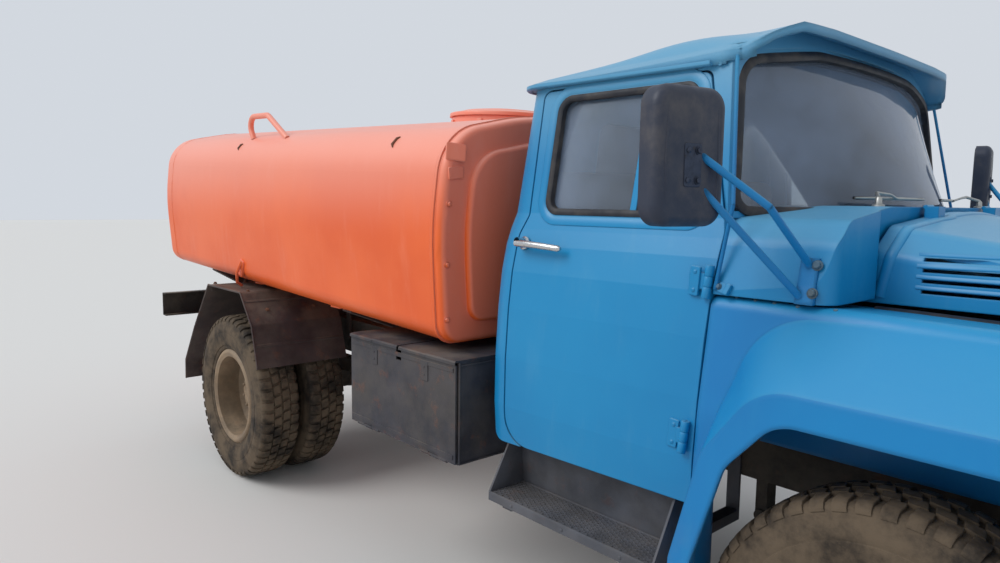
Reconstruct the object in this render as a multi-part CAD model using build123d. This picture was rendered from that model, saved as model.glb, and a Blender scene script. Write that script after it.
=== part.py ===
"""A bonneted tanker truck: two axles, twin rear wheels, an inclined suitcase tank.

Millimetres, +X forward, +Y left, +Z up. The origin is on the ground under the middle of
the vehicle. Lengths along the vehicle are measured from the front axle, and every piece
is moved forward by FRONT_AXLE_X when it is written.
"""
from build123d import *
import os
from math import cos, degrees, pi, radians, sin, sqrt

# Overall layout
WHEELBASE = 3800
FRONT_OVERHANG = 1075
REAR_OVERHANG = 1370
FRONT_AXLE_X = (WHEELBASE + REAR_OVERHANG - FRONT_OVERHANG) / 2
FRONT_TRACK = 1800
REAR_TRACK = 1790
TWIN_SPACING = 300
REAR_X = -WHEELBASE

# Tyres and rims
TYRE_R = 508
TYRE_WIDTH = 260
BEAD_R = 257
RIM_FLANGE_R = 295
RIM_HALF = 89
RIM_WALL = 8
AXLE_Z = TYRE_R
DISC_OFFSET = 145
DISC_WALL = 12

# Frame
RAIL_TOP = 954
RAIL_HEIGHT = 214
RAIL_FLANGE = 80
RAIL_WALL = 9
FRAME_WIDTH = 865
RAIL_FRONT = 900
RAIL_REAR = -5025
RAIL_NOSE_HEIGHT = 140
RAIL_BOTTOM = RAIL_TOP - RAIL_HEIGHT
RAIL_Y = FRAME_WIDTH / 2 - RAIL_FLANGE / 2
WEB_INNER_Y = FRAME_WIDTH / 2 - RAIL_WALL

# Steering
KING_PIN_Y = 760
KING_PIN_R = 20
BEAM_HALF_X = 45
EYE_R = 50
EYE_HALF = 50
KNUCKLE_GAP = 6
TRACK_ARM = 200
LINK_ARM = 200
SPINDLE_R = 34
REAR_SPINDLE_R = 46
HUB_CLEARANCE = 0.5

# Cab
CAB_HALF = 1028
CAB_FLOOR_Z = 816
CAB_BACK = -1518
CAB_WALL = 50
BELT_Z = 1640
SHOULDER_Z = 1700
GUTTER_Z = 2180
GUTTER_HALF = 868
GUTTER_LIP = 14
ROOF_TOP = 2360
ROOF_WALL = 25
CAB_CORNER_R = 120
CAB_SECTIONS = (
    # z, narrower each side than CAB_HALF, rear wall ahead of CAB_BACK
    (CAB_FLOOR_Z, 10, 0),
    (960, 0, 0),
    (1150, 2, 0),
    (1340, 14, 0),
    (1480, 31, 0),
    (1580, 54, 0),
    (BELT_Z, 73, 4),
    (SHOULDER_Z, 90, 18),
    (GUTTER_Z, CAB_HALF - GUTTER_HALF, 44),
    (ROOF_TOP + 80, CAB_HALF - GUTTER_HALF + 36, 57),
)
CAB_TAPER = 45 / 801
DOOR_GAP = 6
DOOR_REAR = -1384
DOOR_REAR_TOP = -1352
DOOR_FRONT = -586
DOOR_BOTTOM = 818
DOOR_TOP = 2152
GLASS = 6
GLASS_DEPTH = 20
UPPER_HINGE = (-566, 962, 1511)
LOWER_HINGE = (-604, 998, 1033)
HINGE_REACH = 45
GRIP_LENGTH = 195
FLOOR_TOP = 990
ROOF_REAR = -1484
CROWN_R = 2000
CROWN_LIFT = 56
ROOF_TURN = 760
ROOF_DROP = 124
VISOR_X = -440
VISOR_Z = 2300
VISOR_LIP = 2168
VISOR_RISE = 78

# Windscreen
SCREEN_BASE_Z = SHOULDER_Z
SCREEN_TOP_Z = 2260
SCREEN_BASE_MID = -270
SCREEN_BASE_END = -530
SCREEN_TOP_MID = -520
SCREEN_TOP_END = -605
SCREEN_HALF = 800
PILLAR_SWEEP = 0.25
COWL_HALF = 953
COWL_BELT_HALF = 910
COWL_FRONT = -208

# Front sheet metal
FENDER_TOP = 1475
FENDER_INNER = 600
FENDER_HALF = 985
FLARE_HALF = 1108
WING_HALF = 935
FENDER_REAR = DOOR_FRONT + DOOR_GAP
SHEET = 12
HOOD_REAR = -200
HOOD_LEAN = 55
HOOD_GAP = 12
HOOD_FRONT = 965
HOOD_HALF_REAR = 640
HOOD_HALF_FRONT = 590
HOOD_TOP_REAR = 1735
HOOD_TOP_FRONT = 1560
HOOD_EDGE_Z = 1462
HOOD_NOSE_Z = 1245
HOOD_HINGE_Z = 1742
HOOD_HINGE_Y = 300
LOUVRE_Z = (1505, 1535, 1565, 1595)
LOUVRE_IN = 600
APRON_BOTTOM = 950
GRILLE_X = 950
LAMP_Y = 490
LAMP_Z = 1010
STEP_Z = 615
STEP_OUT = 1065
STEP_TOP = CAB_FLOOR_Z - 4
STEP_IN = 885
STEP_REAR = -1430
STEP_FRONT = -650
MIRROR_CENTRE = (-470, 1252, 1860)
MIRROR_SIZE = (64, 242, 356)

# Steering column
COLUMN_LEAN = radians(30)
COLUMN_R = 24
SHAFT_R = 11
STEER_R = 240
WHEEL_CENTRE = (-780, 460, 1720)

# Tank
TANK_FRONT = -1700
TANK_LENGTH = 3440
TANK_HALF = 1110
TANK_RISE = radians(2.2)
TANK_BOTTOM = 1150
HATCH_X = -900
HATCH_R = 300
HATCH_BORE = 275
HATCH_TOP = 1030
SADDLES = ((-1900, 560), (-2800, 900), (-3800, 560), (-4700, 900))

# Rear end
REAR_FENDER_HALF = 1178
REAR_FENDER_INNER = 600
REAR_FENDER_TOP = 1190
PLATE = 8
BEAM_X = -5100
BOX_REAR = -2400
BOX_FRONT = -1590
BOX_OUT = 1092
BOX_IN = 600
BOX_LOW = 680
BOX_TOP = 1105
BOX_PIN_R = 7
BOX_PIN_Y = -BOX_OUT - DOOR_GAP - 4
BOX_PIN_Z = BOX_LOW + 4
OUTLET_END = -5150
OUTLET_R = 44


def outline(rows):
    """A closed face from rows of (first, second, corner radius)."""
    points = [(a, b) for a, b, _ in rows]
    return make_face(FilletPolyline(*points, radius=[r for _, _, r in rows], close=True).edges())


def side_form(rows, y0, y1, taper=0):
    """Rows of (x, z, radius) seen from the right, from y0 to y1; a taper narrows it towards y0."""
    plane = Plane((0, y1, 0), x_dir=(1, 0, 0), z_dir=(0, -1, 0))
    return extrude(plane * outline(rows), y1 - y0, taper=taper)


def section_form(rows, x0, x1):
    """Rows of (y, z, radius) seen from behind, from x0 to x1."""
    plane = Plane((x0, 0, 0), x_dir=(0, 1, 0), z_dir=(1, 0, 0))
    return extrude(plane * outline(rows), x1 - x0)


def plan_form(rows, z0, z1):
    """Rows of (x, y, radius) seen from above, from z0 to z1."""
    return extrude(Plane((0, 0, z0)) * outline(rows), z1 - z0)


def block(x0, x1, y0, y1, z0, z1):
    """A box between two corners."""
    return Pos((x0 + x1) / 2, (y0 + y1) / 2, (z0 + z1) / 2) * Box(x1 - x0, y1 - y0, z1 - z0)


def rod(start, end, radius):
    """A round bar between two points."""
    run = Vector(*end) - Vector(*start)
    plane = Plane(origin=start, z_dir=run)
    return plane * Cylinder(radius, run.length, align=(Align.CENTER, Align.CENTER, Align.MIN))


def bent_tube(points, bends, radius):
    """A round tube along straight runs with an arc at each inner point."""
    path = FilletPolyline(*points, radius=bends)
    start = Plane(origin=path @ 0, z_dir=path % 0)
    return sweep(start * Circle(radius), path=path)


def turned(rows, y=0, x=0, z=0):
    """Rows of (y, r, radius) turned about an axle along Y."""
    face = make_face(
        FilletPolyline(*[(r, a) for a, r, _ in rows], radius=[c for _, _, c in rows], close=True).edges()
    )
    return Pos(x, y, z) * revolve(face, axis=Axis.Y)


def both_sides(solid):
    """The piece on the left and its mirror image on the right."""
    return [solid, mirror(solid, about=Plane.XZ)]


def mirrored_rows(rows):
    """Rows given for the left half, from bottom to top, closed by their mirror image."""
    return rows + [(-a, b, r) for a, b, r in reversed(rows)]


def write(name, *solids):
    """One node: every solid moved into the row frame and written as one file."""
    flat = []
    for item in solids:
        flat.extend(item if isinstance(item, list) else [item])
    bodies = [body for item in flat for body in item.solids()]
    moved = [Pos(FRONT_AXLE_X, 0, 0) * body for body in bodies]
    export_step(moved[0] if len(moved) == 1 else Compound(moved), f"parts/{name}.step")


# Wheels

def tyre(y):
    """One tyre, solid between its beads, in the middle plane y."""
    half = TYRE_WIDTH / 2
    rows = [
        (-RIM_HALF, BEAD_R, 0), (-RIM_HALF, RIM_FLANGE_R, 0), (-half, 385, 90),
        (-half + 18, 492, 22), (-half + 50, TYRE_R, 60), (half - 50, TYRE_R, 60),
        (half - 18, 492, 22), (half, 385, 90), (RIM_HALF, RIM_FLANGE_R, 0), (RIM_HALF, BEAD_R, 0),
    ]
    return turned(rows, y)


def rim(y, disc_side):
    """One rim with its dished disc, whose flat lies DISC_OFFSET to the disc_side of plane y."""
    edge = RIM_HALF + RIM_WALL
    inner = BEAD_R - RIM_WALL
    ring = turned([
        (-edge, inner, 0), (-edge, RIM_FLANGE_R, 0), (-RIM_HALF, RIM_FLANGE_R, 0),
        (-RIM_HALF, BEAD_R, 0), (RIM_HALF, BEAD_R, 0), (RIM_HALF, RIM_FLANGE_R, 0),
        (edge, RIM_FLANGE_R, 0), (edge, inner, 0),
    ], y)
    face = disc_side * DISC_OFFSET
    back = disc_side * (DISC_OFFSET - DISC_WALL)
    root = disc_side * 40
    disc = turned([
        (face, 60, 0), (face, 165, 15), (root + disc_side * DISC_WALL, inner + 2, 0),
        (root, inner + 2, 0), (back, 160, 15), (back, 60, 0),
    ], y)
    hand_holes = [
        rod((205 * cos(a), y, 205 * sin(a)), (205 * cos(a), y + disc_side * 200, 205 * sin(a)), 27)
        for a in [2 * pi * k / 6 for k in range(6)]
    ]
    for hole in hand_holes:
        disc = disc - hole
    return ring + disc


def front_wheel(side):
    """Rim, hub and drum of a steered wheel; side is 1 on the left and -1 on the right."""
    y = side * FRONT_TRACK / 2
    face = y + side * (DISC_OFFSET - DISC_WALL)
    bore = SPINDLE_R + HUB_CLEARANCE
    hub = turned([
        (face - side * 150, bore, 0), (face - side * 150, 75, 0), (face - side * 15, 75, 0),
        (face - side * 15, 165, 0), (face, 165, 0), (face, 80, 0), (face + side * 75, 68, 10),
        (face + side * 75, 0, 0), (face - side * 10, 0, 0), (face - side * 10, bore, 0),
    ])
    drum = turned([
        (face - side * 15, 160, 0), (face - side * 15, 218, 10), (face - side * 135, 218, 0),
        (face - side * 135, 204, 0), (face - side * 30, 204, 10), (face - side * 30, 160, 0),
    ])
    return Pos(0, 0, AXLE_Z) * (rim(y, side) + hub + drum)


def rear_wheels(side):
    """Twin rims back to back on one hub with its drum."""
    mid = side * REAR_TRACK / 2
    outer = mid + side * TWIN_SPACING / 2
    inner = mid - side * TWIN_SPACING / 2
    bore = REAR_SPINDLE_R + HUB_CLEARANCE
    hub = turned([
        (mid - side * 175, bore, 0), (mid - side * 175, 95, 0), (mid - side * 20, 95, 0),
        (mid - side * 20, 165, 0), (mid + side * 20, 165, 0), (mid + side * 20, 108, 0),
        (mid + side * 110, 100, 0), (mid + side * 110, 122, 4), (mid + side * 128, 122, 4),
        (mid + side * 128, 62, 10), (mid + side * 150, 58, 8), (mid + side * 150, 0, 0),
        (mid + side * 60, 0, 0), (mid + side * 60, bore, 0),
    ])
    drum = turned([
        (mid - side * 20, 150, 0), (mid - side * 20, 230, 12), (mid - side * 190, 230, 0),
        (mid - side * 190, 214, 0), (mid - side * 36, 214, 10), (mid - side * 36, 150, 0),
    ])
    return Pos(REAR_X, 0, AXLE_Z) * (rim(outer, -side) + rim(inner, side) + hub + drum)


# Frame and running gear

def rail():
    """The left frame rail: a channel open inwards, lower at its nose."""
    shape = [
        (RAIL_REAR, RAIL_BOTTOM, 0), (RAIL_FRONT - 500, RAIL_BOTTOM, 400),
        (RAIL_FRONT, RAIL_TOP - RAIL_NOSE_HEIGHT, 0), (RAIL_FRONT, RAIL_TOP, 0),
        (RAIL_REAR, RAIL_TOP, 0),
    ]
    pocket = [
        (RAIL_REAR - 10, RAIL_BOTTOM + RAIL_WALL, 0), (RAIL_FRONT - 500, RAIL_BOTTOM + RAIL_WALL, 400),
        (RAIL_FRONT + 10, RAIL_TOP - RAIL_NOSE_HEIGHT + RAIL_WALL, 0),
        (RAIL_FRONT + 10, RAIL_TOP - RAIL_WALL, 0), (RAIL_REAR - 10, RAIL_TOP - RAIL_WALL, 0),
    ]
    inner = FRAME_WIDTH / 2 - RAIL_FLANGE
    return side_form(shape, inner, FRAME_WIDTH / 2) - side_form(pocket, inner - 10, WEB_INNER_Y)


def crossmembers():
    """Channels between the rail webs, each open to the rear; columns: x, bottom z, height."""
    table = [(862, 830, 110), (-1150, 860, 80), (-1560, 860, 80), (-2900, 765, 160), (-4250, 765, 160),
             (-4980, 765, 170)]
    pieces = []
    for x, z, height in table:
        rows = [(x - 35, z, 0), (x + 35, z, 0), (x + 35, z + height, 0), (x - 35, z + height, 0),
                (x - 35, z + height - 8, 0), (x + 27, z + height - 8, 0), (x + 27, z + 8, 0),
                (x - 35, z + 8, 0)]
        pieces.append(side_form(rows, -WEB_INNER_Y, WEB_INNER_Y))
    return pieces


def spring(x_mid, z_mid, z_end, half, leaves, leaf, seat_z):
    """A leaf pack over the left rail's line, with its eyes' hangers up to the rail."""
    rise = z_end - z_mid
    arc_r = (half ** 2 + rise ** 2) / (2 * rise)
    width = 75
    y0, y1 = RAIL_Y - width / 2, RAIL_Y + width / 2
    plane = Plane((x_mid, y1, 0), x_dir=(1, 0, 0), z_dir=(0, -1, 0))
    pack = None
    for k in range(leaves):
        reach = half * (1 - 0.8 * k / leaves)
        top = z_mid + arc_r - sqrt(arc_r ** 2 - reach ** 2) - k * leaf
        mid = z_mid - k * leaf
        upper = ThreePointArc((-reach, top), (0, mid), (reach, top))
        lower = ThreePointArc((-reach, top - leaf), (0, mid - leaf), (reach, top - leaf))
        ends = [Line(upper @ 0, lower @ 0), Line(upper @ 1, lower @ 1)]
        piece = extrude(plane * make_face([*upper.edges(), *lower.edges(), *[e.edge() for e in ends]]), width)
        pack = piece if pack is None else pack + piece
    for end in (-1, 1):
        x = x_mid + end * half
        pack += rod((x, y0, z_end - leaf / 2), (x, y1, z_end - leaf / 2), 24)
        pack += block(x - 22, x + 22, y0 + 5, y1 - 5, z_end - leaf / 2, RAIL_BOTTOM)
    bottom = z_mid - leaves * leaf
    return pack + block(x_mid - 60, x_mid + 60, y0, y1, seat_z, bottom + 4)


BEAM_LOW = 360
BEAM_DEPTH = 85
BEAM_PAD_Z = BEAM_LOW + BEAM_DEPTH


def front_axle():
    """The forged I-beam with its dropped middle and an eye for each king pin."""
    end = KING_PIN_Y - EYE_R + 10
    rows = [
        (440, BEAM_LOW, 60), (end - 120, AXLE_Z - 38, 60), (end, AXLE_Z - 38, 0), (end, AXLE_Z + 38, 0),
        (end - 140, AXLE_Z + 38, 60), (450, BEAM_PAD_Z, 40),
    ]
    low = [(-a, b, r) for a, b, r in rows]
    beam = section_form(rows[:] + low[::-1], -BEAM_HALF_X, BEAM_HALF_X)
    groove = [
        (430, BEAM_LOW + 18, 40), (end - 130, AXLE_Z - 20, 40), (end - 20, AXLE_Z - 20, 0),
        (end - 20, AXLE_Z + 20, 0), (end - 140, AXLE_Z + 20, 40), (440, BEAM_PAD_Z - 18, 30),
    ]
    cut = section_form(groove[:] + [(-a, b, r) for a, b, r in groove][::-1], 0, 40)
    beam = beam - Pos(14, 0, 0) * cut - Pos(-54, 0, 0) * cut
    for side in (1, -1):
        y = side * KING_PIN_Y
        eye = rod((0, y, AXLE_Z - EYE_HALF), (0, y, AXLE_Z + EYE_HALF), EYE_R)
        beam = beam + eye + block(-BEAM_HALF_X + 5, BEAM_HALF_X - 5, min(side * (end - 30), y),
                                  max(side * (end - 30), y), AXLE_Z - 36, AXLE_Z + 36)
    for side in (1, -1):
        y = side * KING_PIN_Y
        beam -= rod((0, y, AXLE_Z - 80), (0, y, AXLE_Z + 80), KING_PIN_R + HUB_CLEARANCE)
    pads = [block(-60, 60, y - 45, y + 45, BEAM_PAD_Z - 20, BEAM_PAD_Z) for y in (RAIL_Y, -RAIL_Y)]
    for pad in pads:
        beam += pad
    return beam


LUG_THICK = 44
LUG_BASE = EYE_HALF + KNUCKLE_GAP
ARM_Z = AXLE_Z - LUG_BASE - LUG_THICK
LINK_ARM_Z = AXLE_Z + LUG_BASE + LUG_THICK


def knuckle():
    """The left steering knuckle: fork, king pin, spindle, brake plate and track-rod arm."""
    web0 = KING_PIN_Y + EYE_R + KNUCKLE_GAP
    web1 = web0 + 34
    body = block(-42, 42, web0, web1, AXLE_Z - LUG_BASE - LUG_THICK, AXLE_Z + LUG_BASE + LUG_THICK)
    for low in (AXLE_Z - LUG_BASE - LUG_THICK, AXLE_Z + LUG_BASE):
        body += rod((0, KING_PIN_Y, low), (0, KING_PIN_Y, low + LUG_THICK), 42)
        body += block(-42, 42, KING_PIN_Y, web1, low, low + LUG_THICK)
    body += rod((0, KING_PIN_Y, AXLE_Z - LUG_BASE - 5), (0, KING_PIN_Y, AXLE_Z + LUG_BASE + 5), KING_PIN_R)
    spindle_end = FRONT_TRACK / 2 + DISC_OFFSET - DISC_WALL - 14
    body += rod((0, web1 - 5, AXLE_Z), (0, spindle_end, AXLE_Z), SPINDLE_R)
    body += rod((0, web1 - 5, AXLE_Z), (0, web1 + 18, AXLE_Z), 60)
    body += rod((0, web1 + 6, AXLE_Z), (0, web1 + 14, AXLE_Z), 196)
    arm = [(30, ARM_Z - 24, 0), (30, ARM_Z + 10, 0), (-TRACK_ARM - 26, ARM_Z + 10, 0),
           (-TRACK_ARM - 26, ARM_Z - 14, 0)]
    body += side_form(arm, KING_PIN_Y - 26, KING_PIN_Y + 22)
    body -= rod((-TRACK_ARM, KING_PIN_Y - 2, ARM_Z - 60), (-TRACK_ARM, KING_PIN_Y - 2, ARM_Z + 60), 13)
    return body


def steering_arm():
    """The upper arm of the left knuckle, pointing inwards to the drag link."""
    rows = [(30, KING_PIN_Y + 30, 0), (-30, KING_PIN_Y + 30, 0), (-24, KING_PIN_Y - LINK_ARM - 24, 20),
            (24, KING_PIN_Y - LINK_ARM - 24, 20)]
    return plan_form(rows, LINK_ARM_Z - 4, LINK_ARM_Z + 24)


TIE_Z = ARM_Z - 50


def tie_rod():
    """The track rod behind the beam; its left pin sits in the arm, its right eye is open."""
    y = KING_PIN_Y - 2
    rod_body = rod((-TRACK_ARM, -y + 24, TIE_Z), (-TRACK_ARM, y - 24, TIE_Z), 18)
    left = rod((-TRACK_ARM, y, TIE_Z - 24), (-TRACK_ARM, y, TIE_Z + 24), 28)
    pin = rod((-TRACK_ARM, y, TIE_Z), (-TRACK_ARM, y, ARM_Z + 4), 12.5)
    right = rod((-TRACK_ARM, -y, TIE_Z - 24), (-TRACK_ARM, -y, TIE_Z + 18), 28)
    return rod_body + left + pin + right


PITMAN_X = -285
PITMAN_Y = 505
PITMAN_Z = 862
LINK_Z = LINK_ARM_Z + 24 + 8 + 22
PITMAN_ARM = PITMAN_Z - LINK_Z


def steering_box():
    """The steering gear's housing on the left rail with its output shaft."""
    box = block(PITMAN_X - 75, PITMAN_X + 75, FRAME_WIDTH / 2, PITMAN_Y - 30, PITMAN_Z - 80, PITMAN_Z + 110)
    return box + rod((PITMAN_X, PITMAN_Y - 40, PITMAN_Z), (PITMAN_X, PITMAN_Y - 14, PITMAN_Z), 30)


def pitman():
    """The drop arm outside the steering gear."""
    y = PITMAN_Y
    arm = rod((PITMAN_X, y - 12, PITMAN_Z), (PITMAN_X, y + 12, PITMAN_Z), 34)
    arm += block(PITMAN_X - 20, PITMAN_X + 20, y - 10, y + 10, LINK_Z, PITMAN_Z)
    arm += rod((PITMAN_X, y - 12, LINK_Z), (PITMAN_X, y + 12, LINK_Z), 26)
    return arm


def drag_link():
    """The drag link, inside the drop arm and forward to just over the knuckle's upper arm."""
    y = PITMAN_Y - 43
    link = rod((PITMAN_X, y, LINK_Z), (0, KING_PIN_Y - LINK_ARM, LINK_Z), 17)
    link += rod((PITMAN_X, y - 20, LINK_Z), (PITMAN_X, y + 27, LINK_Z), 23)
    link += rod((0, KING_PIN_Y - LINK_ARM, LINK_Z - 20), (0, KING_PIN_Y - LINK_ARM, LINK_Z + 22), 27)
    return link


REAR_TUBE_R = 62


def rear_axle():
    """The banjo housing with its pinion nose and the spindles for the twin wheels."""
    end = REAR_TRACK / 2 - 205
    lens = revolve(
        make_face(FilletPolyline((0, -130), (0, 110), (120, 104), (205, 40), (205, -50), (130, -130),
                                 radius=[0, 0, 40, 40, 40, 40], close=True).edges()),
        axis=Axis.Y,
    )
    axle = Rot(0, 0, -90) * lens
    axle += rod((80, 0, 0), (300, 0, 0), 78) + rod((300, 0, 0), (330, 0, 0), 62)
    for side in (1, -1):
        cone = Cone(95, REAR_TUBE_R, 220, align=(Align.CENTER, Align.CENTER, Align.MIN))
        axle += Plane(origin=(0, side * 120, 0), z_dir=(0, side, 0)) * cone
        axle += rod((0, side * 330, 0), (0, side * end, 0), REAR_TUBE_R)
    for side in (1, -1):
        axle += rod((0, side * (end - 5), 0), (0, side * (REAR_TRACK / 2 + 58), 0), REAR_SPINDLE_R)
        axle += rod((0, side * (end - 15), 0), (0, side * (end + 8), 0), 205)
        axle += block(-70, 70, side * RAIL_Y - 48, side * RAIL_Y + 48, 20, REAR_TUBE_R + 16)
    return Pos(REAR_X, 0, AXLE_Z) * axle


REAR_SEAT_Z = AXLE_Z + REAR_TUBE_R + 16


def driveline():
    """Gearbox behind the engine and the two-piece propeller shaft."""
    case = section_form([(-170, 660, 30), (170, 660, 30), (200, 900, 60), (-200, 900, 60)], -620, -470)
    box = section_form([(-130, 670, 30), (130, 670, 30), (130, 930, 30), (-130, 930, 30)], -1010, -620)
    shaft_z = 800
    flange = rod((-1010, 0, shaft_z), (-1060, 0, shaft_z), 60)
    front_end, bearing, rear_end = -1050, -2300, REAR_X + 345
    first = rod((front_end, 0, shaft_z), (bearing, 0, 790), 38)
    second = rod((bearing, 0, 790), (rear_end, 0, AXLE_Z), 38) + rod((bearing + 60, 0, 790), (bearing - 60, 0, 788), 62)
    strap = block(bearing - 30, bearing + 30, -WEB_INNER_Y, WEB_INNER_Y, 850, 880)
    return [case + box + flange + first + second + strap]


def radiator():
    """The core and its two tanks behind the grille."""
    core = block(742, 802, -330, 330, 800, 1330)
    return core + block(730, 815, -345, 345, 1300, 1370) + block(730, 815, -345, 345, 790, 850)


# Cab

def half_at(width, x):
    """The half-width at x of a wall that is width wide at the doors' rear edges."""
    return width - CAB_TAPER * (x - DOOR_REAR)


def screen_row(z, inset):
    """The front curve of the cab at height z: its middle x and its end x, set in by inset."""
    share = (z - SCREEN_BASE_Z) / (SCREEN_TOP_Z - SCREEN_BASE_Z)
    mid = SCREEN_BASE_MID + share * (SCREEN_TOP_MID - SCREEN_BASE_MID) - inset
    end = SCREEN_BASE_END + share * (SCREEN_TOP_END - SCREEN_BASE_END) - inset
    return mid, end


def front_loft(z0, z1, inset):
    """The space behind the wrap-round windscreen's surface between two heights."""
    faces = []
    for z in (z0, z1):
        mid, end = screen_row(z, inset)
        half = CAB_HALF + 60
        edge = end - (half - SCREEN_HALF) * PILLAR_SWEEP
        corners = [(end, SCREEN_HALF), (edge, half), (CAB_BACK - 100, half), (CAB_BACK - 100, -half),
                   (edge, -half), (end, -SCREEN_HALF)]
        arc = ThreePointArc(corners[-1], (mid, 0), corners[0])
        lines = [Line(a, b).edge() for a, b in zip(corners, corners[1:])]
        faces.append(Plane((0, 0, z)) * make_face([arc.edge()] + lines))
    return loft(faces, ruled=True)


def cab_plan(z, width, back, front, inset):
    """The cab seen from above at height z, with round rear corners and an open front."""
    rear = back + inset
    rows = [(front, half_at(width, front) - inset, 0), (rear, half_at(width, rear) - inset, CAB_CORNER_R - inset)]
    rows += [(x, -y, r) for x, y, r in reversed(rows)]
    return Plane((0, 0, z)) * outline(rows)


def cab_band(lower, upper, front, inset):
    """The cab between two of its sections, each a z, a narrowing and a shift of the rear wall."""
    return loft([cab_plan(z, CAB_HALF - cut, CAB_BACK + shift, front, inset) for z, cut, shift in (lower, upper)],
                ruled=True)


def wall_form(inset):
    """The solid space inside the cab's walls, every wall set in by inset."""
    bottom, top = CAB_SECTIONS[0], CAB_SECTIONS[-1]
    bands = [(bottom[0] - 2 * inset, *bottom[1:]), *CAB_SECTIONS[1:-1], (top[0] + inset, *top[1:])]
    form = None
    for low, high in zip(bands, bands[1:]):
        front = FENDER_REAR + 50 if high[0] <= SHOULDER_Z else 200
        band = cab_band(low, high, front, inset)
        form = band if form is None else form + band
    heel = [(CAB_BACK + inset, bottom[0] - 3 * inset - 1, CAB_CORNER_R - inset), (300, bottom[0] - 3 * inset - 1, 0),
            (300, 3000, 0), (CAB_BACK + inset, 3000, 0)]
    upper = form & front_loft(SHOULDER_Z, ROOF_TOP + 80 + inset, inset)
    return ((form & block(-3000, 300, -1500, 1500, 0, SHOULDER_Z)) + upper) & side_form(heel, -1500, 1500)


def roof_section(x, top, inset):
    """The roof seen from behind at x: skirts at the gutters under a crowned top."""
    half = GUTTER_HALF + GUTTER_LIP - inset
    rows = mirrored_rows([
        (half, 2050, 0), (half, GUTTER_Z, 12), (ROOF_TURN - inset, top - ROOF_DROP - inset, 300),
    ])
    rows.insert(len(rows) // 2, (0, top + CROWN_LIFT - inset, CROWN_R))
    return Plane((x, 0, 0), x_dir=(0, 1, 0), z_dir=(1, 0, 0)) * outline(rows)


def roof_form(inset):
    """The crowned roof, rising forward to its visor, over skirts at the gutters, set in by inset."""
    half = GUTTER_HALF + GUTTER_LIP
    crown = loft([roof_section(ROOF_REAR - 20, ROOF_TOP - 15, inset), roof_section(150, ROOF_TOP + 82, inset)],
                 ruled=True)
    side = [
        (ROOF_REAR + inset, 2050, 0), (ROOF_REAR + inset, GUTTER_Z + 10, 40),
        (ROOF_REAR + 120 + inset, ROOF_TOP - 20 - inset, 160), (-720, ROOF_TOP + 35 - inset, 400),
        (VISOR_X + 30, VISOR_Z - inset - 12, 0), (VISOR_X + 30, 2050, 0),
    ]
    tip = half_at(half, VISOR_X - 90)
    rear = ROOF_REAR - 3 + inset
    plan = [
        (rear, half_at(half, ROOF_REAR) - inset, CAB_CORNER_R - inset), (VISOR_X - 90, tip, 60),
        (VISOR_X - 25, 620, 400), (VISOR_X, 0, 2500), (VISOR_X - 25, -620, 400), (VISOR_X - 90, -tip, 60),
        (rear, -half_at(half, ROOF_REAR) + inset, CAB_CORNER_R - inset),
    ]
    if inset:
        nose = half_at(half, 100) - inset
        plan[1:-1] = [(100, nose, 0), (100, -nose, 0)]
        side[-2:] = [(VISOR_X + 200, VISOR_Z - 80 - inset, 0), (VISOR_X + 200, 2050, 0)]
    form = crown & side_form(side, -1000, 1000)
    return form & plan_form(plan, 2050 if inset == 0 else 2040, ROOF_TOP + 100)


def visor_space():
    """The open space under the visor's arched lip."""
    rows = mirrored_rows([(950, 1990, 0), (950, VISOR_LIP - 12, 0), (870, VISOR_LIP, 60),
                          (560, VISOR_LIP + VISOR_RISE, 500)])
    return section_form(rows, SCREEN_TOP_END - 10, 200)


def door_rows(gap):
    """The door's outline seen from the right; a gap makes it larger all round."""
    return [
        (DOOR_FRONT + gap, DOOR_BOTTOM - gap, 0), (DOOR_FRONT + 32 + gap, BELT_Z + 20, 60),
        (DOOR_FRONT - 84 + gap, DOOR_TOP + gap, 30), (DOOR_REAR_TOP - gap, DOOR_TOP + gap, 30 + gap),
        (DOOR_REAR_TOP - 4 - gap, SHOULDER_Z - 10, 40), (DOOR_REAR - gap, BELT_Z - 18, 60),
        (DOOR_REAR - gap, DOOR_BOTTOM - gap, 110),
    ]


SIDE_RANGE = (700, 1150)
WINDOW_ROWS = [
    (-655, SHOULDER_Z + 8, 30), (-714, DOOR_TOP - 34, 40), (-1264, DOOR_TOP - 34, 50),
    (-1274, SHOULDER_Z + 8, 45),
]
DIVIDER_ROWS = [
    (-885, SHOULDER_Z - 5, 0), (-909, SHOULDER_Z - 5, 0), (-890, DOOR_TOP - 29, 0),
    (-866, DOOR_TOP - 29, 0),
]


def door():
    """The left door: the body's wall cut for its window, with divider, hinges and handle."""
    leaf = cab_walls & side_form(door_rows(0), *SIDE_RANGE)
    leaf = leaf - side_form(WINDOW_ROWS, *SIDE_RANGE) + (cab_walls & side_form(DIVIDER_ROWS, *SIDE_RANGE))
    pin = (Vector(*UPPER_HINGE) - Vector(*LOWER_HINGE)).normalized() * 50
    for hinge in (UPPER_HINGE, LOWER_HINGE):
        x, y, z = hinge
        leaf = leaf + block(DOOR_FRONT - 45, x, y - HINGE_REACH, y, z - 24, z + 24)
        leaf = leaf + rod(tuple(Vector(*hinge) - pin), tuple(Vector(*hinge) + pin), 12)
    root = (DOOR_REAR + 39, 950, 1588)
    knee = (root[0], 1010, root[2])
    tip = (root[0] + GRIP_LENGTH, knee[1] - 12, root[2] - 10)
    return leaf + rod(root, knee, 12) + rod(knee, tip, 10) + Pos(*knee) * Sphere(12) + Pos(*tip) * Sphere(10)


def door_glass():
    """The two panes of the left door, in the middle of its wall, either side of the divider."""
    return (glass_walls & side_form(WINDOW_ROWS, *SIDE_RANGE)) - side_form(DIVIDER_ROWS, *SIDE_RANGE)


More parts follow.
